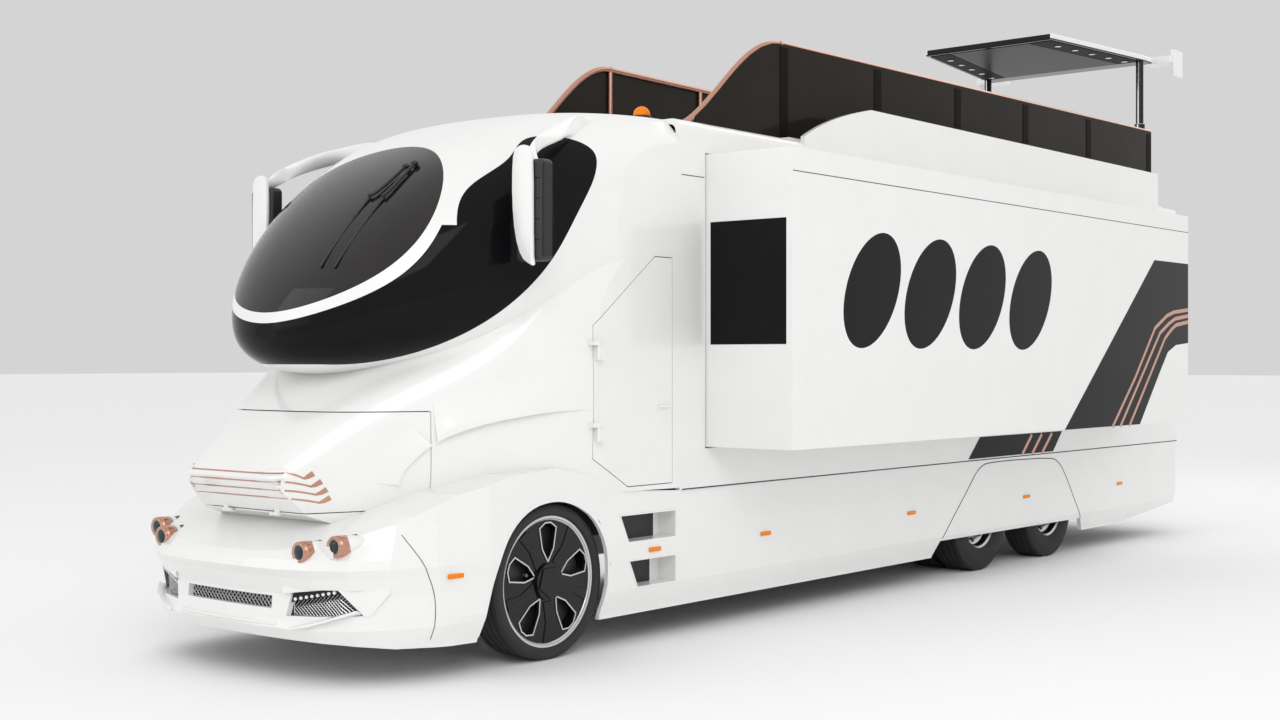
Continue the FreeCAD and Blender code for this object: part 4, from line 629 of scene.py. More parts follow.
def put_wheels(part, name, stations, material):
    """Copies a wheel part to stations given as x, inward offset, label and bodies; the part itself goes."""
    placed = []
    for x, inward, label, left_body, right_body in stations:
        for side, body in ((False, left_body), (True, right_body)):
            twin = copied(part, "%s_%s_%s" % (name, label, "right" if side else "left"),
                          move=(x, WHEEL_SPREAD - inward, AXLE_HEIGHT), body=body, mirror=side)
            placed.append((painted(twin, material), side))
    taken_away(part)
    return placed


def peg(name, sides_round, radius, depth, spot, turn=0.0):
    """A short cylinder along Y."""
    return primitive("cylinder", name, vertices=sides_round, radius=radius, depth=depth, location=spot,
                     rotation=(QUARTER_TURN, turn, 0.0))


class MOTORHOME_OT_tyres(bpy.types.Operator):
    """Turn the grooved tyres and set them on all wheels"""

    bl_idname = "motorhome.tyres"
    bl_label = "Tyres"

    def execute(self, context):
        steps = context.scene.motorhome.tyre_steps
        front = shaded(spun("tyre_form", tyre_profile(0.425), steps), TYRE_ANGLE)
        for piece, side in put_wheels(front, "tyre", FRONT_STATION, "tyre"):
            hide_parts("front_tyre_right" if side else "front_tyre_left")
        rear = shaded(spun("tyre_form", tyre_profile(0.300), steps), TYRE_ANGLE)
        placed = put_wheels(rear, "tyre", (DRIVE_STATION, TAG_STATION, DRIVE_INNER), "tyre_rear")
        for (piece, side), node in zip(placed, ("drive_wheels", "drive_wheels", "tag_wheel", "tag_wheel")):
            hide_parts("%s_%s" % (node, "right" if side else "left"))
        return {"FINISHED"}


class MOTORHOME_OT_front_rims(bpy.types.Operator):
    """Dress the front rims: silver window frames, polished lip, copper nuts and a plain five-sided cap"""

    bl_idname = "motorhome.front_rims"
    bl_label = "Front rims"

    def execute(self, context):
        lip = shaded(spun("rim_lip_form", RIM_LIP, 72), 50)
        put_wheels(lip, "rim_lip", FRONT_STATION, "silver")
        corners = [Vector((across * RIM_RADIUS * KITE_SLIM, RIM_FACE + 0.0004, along * RIM_RADIUS))
                   for along, across in KITE_SHARES]
        window = strip("kite_frame_form", corners + corners[:1], 0.009, LEFT, 0.006)
        spoke = self.spoke()
        for turn in range(WINDOWS):
            self.turned(window, "kite_frame", turn, WINDOWS, "silver")
            self.turned(spoke, "rim_spoke", turn, WINDOWS, "gloss_black")
        nut = fixed(bevelled(peg("nut_form", 6, 0.0155, 0.034, (0.0, 0.066, 0.168)), 0.003))
        for turn in range(NUTS):
            self.turned(nut, "wheel_nut", turn, NUTS, "copper")
        taken_away(window, spoke, nut)
        put_wheels(spun("brake_disc_form", DISC, 64), "brake_disc", FRONT_STATION, "satin_black")
        cap = bevelled(peg("cap_form", 5, 0.112, 0.010, (0.0, 0.1395, 0.0), math.pi), 0.004, 3)
        put_wheels(fixed(cap), "wheel_cap", FRONT_STATION, "gloss_black")
        return {"FINISHED"}

    def turned(self, form, name, turn, count, material):
        """Puts a form on both front wheels at one of a number of turns."""
        name = "%s_%d" % (name, turn)
        put_wheels(copied(form, name, spin=math.tau * turn / count), name, FRONT_STATION, material)

    def spoke(self):
        """A low ridge on the rim's face between two windows, narrow in its middle."""
        angle = math.pi / WINDOWS
        out = Vector((math.sin(angle), 0.0, math.cos(angle)))
        across = Vector((math.cos(angle), 0.0, -math.sin(angle)))
        level = LEFT * (RIM_FACE - 0.001)
        corners = [(out * along + across * side) * RIM_RADIUS + level for along, side in SPOKE_SHARES]
        return plate("rim_spoke_form", corners, LEFT, 0.008, bevel=0.003)


class MOTORHOME_OT_rear_rims(bpy.types.Operator):
    """Turn the dished steel rims of the rear axles, with their nuts, hand holes and hubs"""

    bl_idname = "motorhome.rear_rims"
    bl_label = "Rear rims"

    def execute(self, context):
        outer = (DRIVE_STATION, TAG_STATION)
        dish = shaded(spun("rim_dish_form", DISH, 64), 35)
        hub = shaded(spun("hub_form", HUB, 40), 35)
        put_wheels(dish, "rim_dish", (DRIVE_STATION, DRIVE_INNER, TAG_STATION), "silver")
        put_wheels(hub, "rear_hub", outer, "chassis")
        for name, start, reach, y, sides_round, radius, depth, material in PEG_RINGS:
            ring = self.ring_of_pegs(name, start, reach, y, sides_round, radius, depth)
            put_wheels(ring, name, outer, material)
        return {"FINISHED"}

    def ring_of_pegs(self, name, start, reach, y, sides_round, radius, depth):
        """Ten pegs round the wheel's middle, joined, the first one a share of a step on from the front."""
        pegs = []
        for turn in range(NUTS):
            angle = math.tau * (turn + start) / NUTS
            spot = (math.cos(angle) * reach, y, math.sin(angle) * reach)
            pegs.append(peg(name, sides_round, radius, depth, spot))
        return fixed(joined(pegs, name + "_form"))


# Front end

GRILLE_LOW, GRILLE_PITCH, GRILLE_HALF, GRILLE_LINE = 1.102, 0.052, 0.456, 0.010
GRILLE_KNEE = GRILLE_HALF * 0.62
GRILLE_ENDS = ((1.345, 1.068), (1.365, 1.118), (1.395, 1.168), (1.440, 1.218))
FLANK_SHARES = (0.0, 0.25, 0.5, 0.75, 0.9)
FLANK_WIDTHS = [GRILLE_LINE * share for share in (1.0, 1.0, 1.0, 1.0, 1.2, 2.6, 3.4)]
LAMP_PLACES = (("inner", 1.630, 0.700, 0.804), ("outer", 1.530, 0.900, 0.843))
FAIRING_PROFILE = ((0.0565, 0.0), (0.0555, -0.030), (0.0490, -0.060), (0.0370, -0.092), (0.0200, -0.124),
                   (0.0015, -0.150), (0.0015, 0.0))
FAIRING_WAY = (-0.87, 0.44, 0.22)
LAMP_PARTS = (("lamp_lip", "copper", (0.0, 0.0, 0.0)), ("lamp_hood", "copper", (0.0, 0.0, 0.0)),
              ("lens", "dark_lens", (-0.004, 0.0, 0.0)), ("lamp_ring", "silver", (0.004, 0.0, 0.0)),
              ("lamp_fairing", "white_paint", (-0.075, 0.008, 0.002)))
HOOD_PROFILE = ((0.0640, 0.0), (0.0660, -0.030), (0.0655, -0.060), (0.0635, -0.086), (0.0610, -0.086),
                (0.0600, 0.0))
MESH_HALF, MESH_LOW, MESH_HIGH = 0.46, 0.440, 0.535
MESH_PLAN = ((1.575, -0.46), (1.590, 0.0), (1.575, 0.46))
INTAKE_PLAN = ((1.590, 0.545), (1.497, 0.870), (1.400, 1.005))
INTAKE_MESH_DEPTH, INTAKE_BACK_DEPTH, INTAKE_LEVEL = 0.042, 0.052, 0.508
INTAKE_FILLERS = (("roof", ((0.540, 0.548), (0.540, 0.592), (0.905, 0.592), (0.860, 0.587))),
                  ("side", ((0.880, 0.592), (1.100, 0.592), (1.100, 0.560), (1.025, 0.425), (1.000, 0.425))))
FACE_LOW, FACE_HIGH = 0.400, 0.600
LED_ROW = ((1.582, 0.600, 0.515), (1.500, 0.860, 0.566))
LEDS = 8


class MOTORHOME_OT_grille(bpy.types.Operator):
    """Back the grille's gaps with copper and carry the lines round the nose to wedge-shaped ends"""

    bl_idname = "motorhome.grille"
    bl_label = "Grille"

    def execute(self, context):
        skin = skin_of("bonnet")
        for number, end in enumerate(GRILLE_ENDS):
            level = GRILLE_LOW + GRILLE_PITCH * number
            self.front_line(number, level)
            for side, name in ((1.0, "left"), (-1.0, "right")):
                self.slat_ends("slat_end_%d_%s" % (number, name), level, side)
                self.side_line("grille_flank_%d_%s" % (number, name), level, end, side, skin)
        taken_away(skin)
        return {"FINISHED"}

    def face(self, y, level):
        """A spot on the nose's face in a gap, and the face's own upward line, from the slats around it."""
        reach = GRILLE_PITCH * 0.5
        top = Vector((surface_x("bonnet", y, level + reach), y, level + reach))
        foot = Vector((surface_x("bonnet", y, level - reach), y, level - reach))
        return (top + foot) / 2, (top - foot).normalized()

    def front_line(self, number, level):
        """A deep copper backing in the gap and a thin copper line before it."""
        spots = [self.face(GRILLE_HALF * step / 6.0, level)[0] for step in range(-6, 7)]
        out = LEFT.cross(self.face(0.0, level)[1])
        for name, sunk, wide, thick in (("grille_back", 0.014, GRILLE_LINE * 4.2, 0.004),
                                        ("grille_line", 0.003, GRILLE_LINE, 0.0035)):
            line = strip("%s_%d" % (name, number), [spot - out * sunk for spot in spots], wide, out, thick)
            place(line, "copper", "bonnet_body")

    def slat_ends(self, name, level, side):
        """White fillers that keep the gap's end as thin as its middle."""
        rise = self.face(0.0, level)[1]
        out = LEFT.cross(rise)
        for up, label in ((1.0, "up"), (-1.0, "down")):
            route, widths = [], []
            for share in (0.0, 0.25, 0.5, 0.75, 1.0):
                y = GRILLE_KNEE + (GRILLE_HALF + 0.012 - GRILLE_KNEE) * share
                wide = 0.004 + 0.020 * share
                spot = self.face(y * side, level)[0]
                route.append(spot - out * 0.008 + rise * (up * (GRILLE_LINE + wide) / 2.0))
                widths.append(wide)
            place(strip("%s_%s" % (name, label), route, widths, out, 0.0085), "white_paint", "bonnet_body")

    def side_line(self, name, level, end, side, skin):
        """The copper line on the nose's flank, which turns up into a wedge."""
        end_x, end_z = end
        start_x = self.face(0.47, level)[0].x + 0.002
        y = 1.2 * side
        route = [Vector((start_x + (end_x - start_x) * share, y, level + (end_z - level) * share ** 1.4))
                 for share in FLANK_SHARES]
        route += [Vector((end_x - 0.010, y, end_z + 0.014)), Vector((end_x - 0.045, y, end_z + 0.034))]
        while not all(met("bonnet", route[0] + UP * lift, LEFT * -side) for lift in (-0.008, 0.0, 0.008)):
            route[0].x -= 0.005
        place(strip(name, route, FLANK_WIDTHS, LEFT * side, 0.002, target=skin), "copper", "bonnet_body")


class MOTORHOME_OT_lamps(bpy.types.Operator):
    """Dress each headlamp: copper lip and hood, a dark lens with a lit ring and a white fairing behind"""

    bl_idname = "motorhome.lamps"
    bl_label = "Headlamps"

    def execute(self, context):
        lip = self.ring("lamp_lip_form", 0.0555, 0.0090)
        glow = self.ring("lamp_ring_form", 0.0455, 0.0022)
        hood = spun("lamp_hood_form", HOOD_PROFILE, 48)
        hood.rotation_euler = (0.0, 0.0, -QUARTER_TURN)
        lens = primitive("uv_sphere", "lens_form", segments=40, ring_count=20, radius=0.046)
        lens.scale = (0.42, 1.0, 1.0)
        fairing = spun("fairing_form", FAIRING_PROFILE, 40)
        fairing.rotation_euler = Vector(FAIRING_WAY).to_track_quat("-Y", "Z").to_euler()
        forms = (lip, hood, lens, glow, fairing)
        for form in forms:
            fixed(form)
            bpy.ops.object.shade_smooth()
        for label, x, y, z in LAMP_PLACES:
            for form, (name, material, shift) in zip(forms, LAMP_PARTS):
                pair(form, "%s_%s" % (name, label), material, Vector((x, y, z)) + Vector(shift))
        taken_away(*forms)
        return {"FINISHED"}

    def ring(self, name, radius, thick):
        """A ring that faces ahead."""
        return primitive("torus", name, major_radius=radius, minor_radius=thick, major_segments=48,
                         minor_segments=12, rotation=(0.0, QUARTER_TURN, 0.0))


def bent(route, y):
    """The x of a plan route at a given y, with the route's ends carried on."""
    pairs = sorted((spot_y, x) for x, spot_y in route)
    for (low_y, low_x), (high_y, high_x) in zip(pairs, pairs[1:]):
        if y <= high_y or (high_y, high_x) == pairs[-1]:
            return low_x + (high_x - low_x) * (y - low_y) / (high_y - low_y)
    return pairs[0][1]


def mesh_panel(name, y_span, z_span, plan, cell, wire_share):
    """Woven wire across an opening, its wires at 45 degrees, bent to a plan route of x and y."""
    (y_low, y_high), (z_low, z_high) = y_span, z_span
    reach = (y_high - y_low) + (z_high - z_low)
    count = max(2, round(reach / cell / 1.414))
    piece = primitive("grid", name, x_subdivisions=count, y_subdivisions=count, size=reach / 1.414)
    piece.rotation_euler = (0.0, 0.0, QUARTER_TURN / 2)
    fixed(piece)
    piece.rotation_euler = (0.0, QUARTER_TURN, 0.0)
    piece.location = (0.0, (y_low + y_high) / 2, (z_low + z_high) / 2)
    fixed(piece)
    enter(piece)
    for spot, way in ((LEFT * y_low, -LEFT), (LEFT * y_high, LEFT), (UP * z_low, -UP), (UP * z_high, UP)):
        bpy.ops.mesh.select_all(action="SELECT")
        bpy.ops.mesh.bisect(plane_co=spot, plane_no=way, clear_outer=True, use_fill=False)
    leave()
    wire = piece.modifiers.new("wire", "WIREFRAME")
    wire.thickness = cell * wire_share
    wire.use_boundary = True
    apply_modifiers(piece)
    for vertex in piece.data.vertices:
        vertex.co.x += bent(plan, vertex.co.y)
    return piece


class MOTORHOME_OT_bumper(bpy.types.Operator):
    """Fill the bumper's openings with wire mesh over a dark back, and add the light strips"""

    bl_idname = "motorhome.bumper"
    bl_label = "Bumper"

    def execute(self, context):
        span, rise = (-MESH_HALF, MESH_HALF), (MESH_LOW, MESH_HIGH)
        grid = mesh_panel("bumper_mesh", span, rise, MESH_PLAN, 0.026, 0.27)
        place(grid, "silver")
        back = block("bumper_mesh_back", (1.530, -MESH_HALF - 0.010, MESH_LOW - 0.008),
                     (1.545, MESH_HALF + 0.010, MESH_HIGH + 0.008), bevel=0.003)
        place(back, "satin_black")
        plan = [(x - INTAKE_MESH_DEPTH, y) for x, y in INTAKE_PLAN]
        both(mesh_panel("intake_mesh_left", (0.55, 1.00), (0.415, 0.60), plan, 0.0165, 0.28), "silver")
        route = [(x - INTAKE_BACK_DEPTH, y, INTAKE_LEVEL) for x, y in INTAKE_PLAN]
        both(strip("intake_back_left", route, 0.200, AHEAD, 0.005), "satin_black")
        for name, corners in INTAKE_FILLERS:
            spots = [Vector((self.face_x(y, z) - 0.004, y, z)) for y, z in corners]
            both(plate("intake_%s_left" % name, spots, AHEAD, 0.006, bevel=0.0015), "white_paint")
        self.light_strip()
        return {"FINISHED"}

    def face_x(self, y, z):
        """The bumper's face inside an opening, from the solid face above and below it."""
        above, below = surface_x("front_bumper", y, FACE_HIGH), surface_x("front_bumper", y, FACE_LOW)
        return below + (above - below) * (z - FACE_LOW) / (FACE_HIGH - FACE_LOW)

    def light_strip(self):
        """A dark strip along the top of each side intake with a row of round lamps."""
        start, end = (Vector(spot) for spot in LED_ROW)
        along = (end - start).normalized()
        face = along.cross(UP).normalized()
        sunk = UP * 0.010 - face * 0.020
        route = [start - along * 0.045 + sunk, end + along * 0.035 + sunk]
        both(strip("led_bar_left", route, 0.050, face, 0.010), "gloss_black")
        lamp = bevelled(primitive("cylinder", "led_form", vertices=20, radius=0.0105, depth=0.012), 0.003)
        lamp.rotation_euler = face.to_track_quat("Z", "Y").to_euler()
        fixed(lamp)
        for number in range(LEDS):
            pair(lamp, "led_%d" % number, "lamp", start.lerp(end, number / (LEDS - 1)) - face * 0.006)
        taken_away(lamp)


# Mirrors and wipers

MIRROR_BLADE = ((1.262, 3.268), (1.240, 3.20), (1.236, 2.95), (1.262, 2.72), (1.317, 2.580), (1.392, 2.535),
                (1.425, 2.524), (1.412, 2.60), (1.410, 3.215), (1.385, 3.275), (1.32, 3.292))
MIRROR_RIBS, RIB_START, RIB_PITCH, RIB_WIDE = 6, 0.016, 0.017, 0.007
WIPER_ROUTES = (
    ((0.507, 0.396, 3.195), (0.754, 0.400, 3.000), (0.770, 0.345, 2.988), (0.999, 0.345, 2.755),
     (1.170, 0.335, 2.519)),
    ((0.470, 0.440, 3.215), (0.700, 0.480, 3.030), (0.754, 0.461, 2.981), (0.960, 0.455, 2.772),
     (1.145, 0.440, 2.516)),
)
WIPER_BALLS = (("joint", 2, 16, 10, 0.016, (1.0, 0.7, 0.8)), ("pivot", 0, 20, 12, 0.026, (1.0, 1.0, 0.7)))
ARM_HEIGHT, BLADE_HEIGHT = 0.022, 0.010


class MOTORHOME_OT_mirrors(bpy.types.Operator):
    """Put a white blade in front of each mirror housing, ribs on its side and the glass on its back"""

    bl_idname = "motorhome.mirrors"
    bl_label = "Mirrors"

    def execute(self, context):
        low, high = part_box("mirror_head_left")
        front, back = high[0] + 0.002, low[0] - 0.001
        outline = rounded(MIRROR_BLADE + MIRROR_BLADE[:1], 1)[:-1]
        corners = [Vector((front, y, z)) for y, z in outline]
        both(plate("mirror_blade_left", corners, AHEAD, 0.030, bevel=0.011), "white_paint", smooth=40)
        for name, floor, top in (("main", low[2] + 0.22, high[2] - 0.05),
                                 ("wide", low[2] + 0.04, low[2] + 0.19)):
            glass = block("mirror_glass_%s_left" % name, (back - 0.004, low[1] + 0.03, floor),
                          (back, high[1] - 0.03, top), bevel=0.0015)
            both(glass, "silver")
        for number in range(MIRROR_RIBS):
            x = low[0] + RIB_START + RIB_PITCH * number
            rib = block("mirror_rib_%d_left" % number, (x, high[1] - 0.004, low[2] + 0.03),
                        (x + RIB_WIDE, high[1] + 0.0005, high[2] - 0.03), bevel=0.002)
            both(rib, "gloss_black")
        return {"FINISHED"}


class MOTORHOME_OT_wipers(bpy.types.Operator):
    """Lay two wipers, each an arm, a joint and a blade, down the windscreen"""

    bl_idname = "motorhome.wipers"
    bl_label = "Wipers"

    def execute(self, context):
        for number, route in enumerate(WIPER_ROUTES):
            arm = [self.above(spot, ARM_HEIGHT) for spot in route[:3]]
            place(tube("wiper_arm_%d" % number, arm, 0.012), "satin_black", smooth=40)
            blade = [self.above(spot, BLADE_HEIGHT) for spot in route[2:]]
            place(tube("wiper_blade_%d" % number, blade, 0.008), "satin_black", smooth=40)
            for name, step, segments, rings, radius, squash in WIPER_BALLS:
                ball = primitive("uv_sphere", "wiper_%s_%d" % (name, number), segments=segments,
                                 ring_count=rings, radius=radius, location=arm[step])
                ball.scale = squash
                place(ball, "satin_black", smooth=60)
        return {"FINISHED"}

    def above(self, spot, height):
        """The spot on the windscreen's surface nearest to a place, raised by a height."""
        hit, near, normal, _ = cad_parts["windscreen"].closest_point_on_mesh(Vector(spot))
        if not hit:
            raise RuntimeError("no windscreen under a wiper")
        return near + normal.normalized() * height


# Terrace and canopy

GLASS_POSTS = (-3.05, -4.39, -5.71, -6.98, -8.31, -9.75)
POST_FOOT, POST_STEP = 3.73, 0.04
GLASS_POST_WIDE, GLASS_POST_THICK = 0.110, 0.003
DOME_X, DOME_Y, DOME_BASE, DOME_MIDDLE = -1.92, 0.38, 3.80, 3.832
CANOPY_LOW = 5.330
CANOPY_EDGE = ((-8.25, 0.752), (-10.08, 1.005))
CANOPY_STATIONS = (-8.30, -8.75, -9.20, -9.65, -10.06)
WING_WIDTH, WING_INSET, WING_OVERLAP = 0.26, 0.035, 0.012
BROW_LOW, BROW_HIGH = (-8.262, -0.735, 5.337), (-8.240, 0.735, 5.391)
TOP_HALF = ((-10.08, 1.009), (-10.303, 1.009))
TOP_FRONT, TOP_OVERHANG, TOP_RISE, TOP_THICK = -8.246, 0.003, 0.012, 0.052
DOWNLIGHTS, LIGHT_START, LIGHT_PITCH, LIGHT_INSET = 5, -8.62, 0.33, 0.155
WINGLET_BLOCKS = (("winglet_left", (-10.6405, 1.1925, 5.187), (-10.378, 1.2275, 5.4806), 0.002),
                  ("winglet_arm", (-10.514, 0.906, 5.3265), (-10.285, 1.2145, 5.3985), 0.003),
                  ("winglet_bar", (-10.563, 0.904, 5.3275), (-10.287, 0.994, 5.3965), 0.003))
POST_PLACE, SLEEVE_LOW, SLEEVE_TOP = (-10.08, 0.950), 3.70, 4.616


class MOTORHOME_OT_terrace(bpy.types.Operator):
    """Stand dark posts on the terrace glass and set the round lamp on the roof"""

    bl_idname = "motorhome.terrace"
    bl_label = "Terrace"

    def execute(self, context):
        low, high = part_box("terrace_glass_left")
        for number, x in enumerate(GLASS_POSTS):
            route, z, spot = [], POST_FOOT, True
            while spot:
                spot = met("terrace_glass_left", (x, 1.6, z), -LEFT)
                if spot and spot.y > low[1] and spot.z < high[2] - 0.01:
                    route.append(spot)
                z += POST_STEP
            both(strip("glass_post_%d_left" % number, route, GLASS_POST_WIDE, LEFT, GLASS_POST_THICK),
                 "deep_black")
        base = primitive("cylinder", "dome_base", vertices=32, radius=0.075, depth=0.05,
                         location=(DOME_X, DOME_Y, DOME_BASE))
        place(bevelled(base, 0.01, 3), "satin_black", smooth=40)
        dome = primitive("uv_sphere", "dome_lamp", segments=32, ring_count=16, radius=0.066,
                         location=(DOME_X, DOME_Y, DOME_MIDDLE))
        place(dome, "amber", smooth=60)
        return {"FINISHED"}


class MOTORHOME_OT_canopy(bpy.types.Operator):
    """Panel the canopy: dark glass and black wings with lamps below, a white top, winglets and its posts"""

    bl_idname = "motorhome.canopy"
    bl_label = "Canopy"

    def execute(self, context):
        level = CANOPY_LOW - 0.0005
        outer = [Vector((x, self.edge(x) - WING_INSET, level)) for x in CANOPY_STATIONS]
        inner = [spot - LEFT * WING_WIDTH for spot in outer]
        glass = inner + [Vector((x, -y, z)) for x, y, z in reversed(inner)]
        place(plate("canopy_glass", glass, -UP, 0.004), "smoked", "canopy_body")
        wing = outer + [spot + LEFT * WING_OVERLAP for spot in reversed(inner)]
        both(plate("canopy_wing_left", wing, -UP, 0.005, bevel=0.0015), "deep_black", "canopy_body")
        place(block("canopy_brow", BROW_LOW, BROW_HIGH, bevel=0.006), "smoked", "canopy_body")
        self.lights()
        self.white_parts()
        self.posts()
        return {"FINISHED"}

    def edge(self, x):
        """Half the slab's width at a station."""
        (front_x, front_y), (back_x, back_y) = CANOPY_EDGE
        return front_y + (back_y - front_y) * (x - front_x) / (back_x - front_x)

    def lights(self):
        bezel = primitive("torus", "downlight_form", major_radius=0.040, minor_radius=0.006,
                          major_segments=32, minor_segments=8)
        glow = primitive("cylinder", "downlight_glow_form", vertices=28, radius=0.034, depth=0.008)
        for form in (bezel, glow):
            shaded(form, 40)
        for number in range(DOWNLIGHTS):
            x = LIGHT_START - LIGHT_PITCH * number
            spot = (x, self.edge(x) - LIGHT_INSET, CANOPY_LOW - 0.006)
            pair(bezel, "downlight_%d" % number, "chassis", spot, "canopy_body")
            pair(glow, "downlight_glow_%d" % number, "lamp", spot, "canopy_body")
        taken_away(bezel, glow)

    def white_parts(self):
        """The white top skin with its rim and the white winglets."""
        half = [(TOP_FRONT, CANOPY_EDGE[0][1] + TOP_OVERHANG), *TOP_HALF]
        rim = [Vector((x, y, CANOPY_LOW + TOP_RISE)) for x, y in half + [(x, -y) for x, y in reversed(half)]]
        place(plate("canopy_top", rim, UP, TOP_THICK, bevel=0.008), "white_paint", "canopy_body")
        for name, low, high, bevel in WINGLET_BLOCKS:
            both(block(name, low, high, bevel), "white_paint", "canopy_body")

    def posts(self):
        """Dark covers round the fixed sleeves of the posts with a bright strip as a painted highlight, and a
        painted highlight strip on the posts.
        """
        x, y = POST_PLACE
        cover = primitive("cylinder", "post_cover_left", vertices=40, radius=0.0575,
                          depth=SLEEVE_TOP - SLEEVE_LOW, location=(x, y, (SLEEVE_TOP + SLEEVE_LOW) / 2),
                          end_fill_type="NOTHING")
        both(walled(cover, 0.002, -1.0), "gloss_black", smooth=40)
        # The silver strips on the sleeve cover and on the post are painted highlights of the glossy round
        # black post.
        both(block("post_strip_left", (x + 0.050, y - 0.008, SLEEVE_LOW + 0.02),
                   (x + 0.060, y + 0.008, SLEEVE_TOP - 0.004), bevel=0.002), "silver")
        both(block("post_line_left", (x + 0.036, y - 0.007, SLEEVE_TOP), (x + 0.044, y + 0.007, CANOPY_LOW),
                   bevel=0.0015), "silver", "canopy_body")


# Arches, crests and the front's lower edge

ARCH_OUTLINE = ((-0.458, 0.205), (-0.526, 0.577), (-0.418, 0.869), (-0.209, 1.001), (0.011, 1.049),
                (0.251, 1.008), (0.451, 0.858), (0.583, 0.614), (0.673, 0.210))
ARCH_CENTRE, ARCH_REACH = (0.03, 0.50), 0.045
FLANGE_WIDE, FLANGE_THICK, RETURN_WIDE, RETURN_DEEP = 0.024, 0.003, 0.014, 0.030
CAB_PROUD, NOSE_PROUD, CREST_DEEP = 0.048, 0.034, 0.030
CREST_CAB = ((0.705, 1.424), (0.639, 1.463), (0.540, 1.502), (0.429, 1.535), (0.310, 1.562), (0.191, 1.582),
             (0.060, 1.600), (-0.080, 1.610), (-0.200, 1.613), (-0.330, 1.614))
CREST_NOSE = ((0.905, 1.160), (0.897, 1.215), (0.882, 1.257), (0.835, 1.312), (0.784, 1.366), (0.734, 1.405))
CREST_ROWS = ((0.0, 1.0), (0.012, 1.06), (0.05, 0.90), (0.11, 0.58), (0.18, 0.26), (0.26, 0.02))
FLAP_LINE = ((1.187, 0.900), (1.098, 0.730), (1.012, 0.560), (1.003, 0.480), (1.003, 0.400), (1.020, 0.262))
CANARD = ((1.633, 0.600, 0.330), (1.602, 0.750, 0.362), (1.535, 0.900, 0.412), (1.445, 1.005, 0.455),
          (1.395, 0.985, 0.432), (1.480, 0.880, 0.405), (1.555, 0.740, 0.375), (1.585, 0.600, 0.345))
LIP_EDGE = ((1.560, 0.540), (1.638, 0.482), (1.662, 0.300), (1.672, 0.0))
LIP_DEPTH, LIP_LEVEL = 0.09, 0.352


class MOTORHOME_OT_arches(bpy.types.Operator):
    """Run a smooth flange round each front wheel arch"""

    bl_idname = "motorhome.arches"
    bl_label = "Arch flanges"

    def execute(self, context):
        centre = Vector(ARCH_CENTRE)
        route = []
        for x, z in rounded(ARCH_OUTLINE):
            away = (Vector((x, z)) - centre).normalized() * ARCH_REACH
            spot = met("fender_left", (x + away.x, FAR_OUT, z + away.y), -LEFT)
            if spot:
                route.append(Vector((x, spot.y + 0.0005, z)))
        flange = strip("arch_flange_left", route, FLANGE_WIDE, LEFT, FLANGE_THICK)
        both(flange, "white_paint", smooth=40)
        inner = [spot - LEFT * RETURN_DEEP for spot in route]
        both(strip("arch_return_left", inner, RETURN_WIDE, LEFT, RETURN_DEEP), "white_paint", smooth=40)
        return {"FINISHED"}


class MOTORHOME_OT_crests(bpy.types.Operator):
    """Raise the cab's flank above the front wheel to a crisp curved edge that overhangs the scoop below it"""

    bl_idname = "motorhome.crests"
    bl_label = "Crests"

    def execute(self, context):
        both(self.crest("cab", "cab_shell", CREST_CAB, CAB_PROUD), "white_paint", BODY, smooth=50)
        both(self.crest("nose", "bonnet", CREST_NOSE, NOSE_PROUD), "white_paint", "bonnet_body", smooth=50)
        return {"FINISHED"}

    def crest(self, name, node, outline, proud):
        """A skin on the flank: its lowest row stands proud and the rows above sink back into the surface."""
        rows, last = len(CREST_ROWS), len(outline) - 1
        piece = primitive("grid", "crest_%s_left" % name, x_subdivisions=last, y_subdivisions=rows - 1,
                          size=2.0)
        spots = in_columns(piece)
        for column, (x, z) in enumerate(outline):
            away = UP.xz if name == "cab" else self.outwards(outline, column) * 0.6
            fade = self.fade(name, column / last)
            for row, (reach, share) in enumerate(CREST_ROWS):
                px, pz = x + away.x * reach, z + away.y * reach
                y = surface_y(node, px, pz) + 0.0006 + proud * share * fade
                spots[column * rows + row].co = (px, y, pz)
        face_out(piece, LEFT)
        return walled(piece, CREST_DEEP, -1.0)

    def outwards(self, outline, column):
        """The flat direction away from the scoop at one column of the outline."""
        before, after = outline[max(column - 1, 0)], outline[min(column + 1, len(outline) - 1)]
        along = Vector((after[0] - before[0], after[1] - before[1])).normalized()
        return Vector((along.y, -along.x))

    def fade(self, name, share):
        """How much of its height the crest has at a share of its length."""
        if name == "nose":
            return 0.35 + 0.65 * share
        return max(0.04, min(1.0, (1.0 - share) * 2.2)) * (0.72 + 0.28 * min(1.0, share * 5.0))


class MOTORHOME_OT_lower_front(bpy.types.Operator):
    """Add the bumper's corner blades, its centre lip and the joints between bumper and fenders"""

    bl_idname = "motorhome.lower_front"
    bl_label = "Lower front"

    def execute(self, context):
        thin = context.scene.motorhome.seam_width
        corners = [Vector(spot) for spot in CANARD]
        both(plate("canard_left", corners, UP, 0.016, bevel=0.005), "white_paint", smooth=40)
        outline = [*LIP_EDGE, *((x, -y) for x, y in reversed(LIP_EDGE[:-1]))]
        outline += [(x - LIP_DEPTH, -y) for x, y in LIP_EDGE[1:]]
        outline += [(x - LIP_DEPTH, y) for x, y in reversed(LIP_EDGE[1:-1])]
        lip = plate("centre_lip", [Vector((x, y, LIP_LEVEL)) for x, y in outline], UP, 0.018, bevel=0.006)
        place(lip, "white_paint", smooth=40)
        skin = skin_of("front_bumper", "fender_left")
        route = side_spots(rounded(FLAP_LINE), 1.6)
        both(strip("flap_line_left", route, thin * 0.6, LEFT, 0.0020, target=skin, cuts=3), "shut_line")
        taken_away(skin)
        return {"FINISHED"}


# Flanks and rear

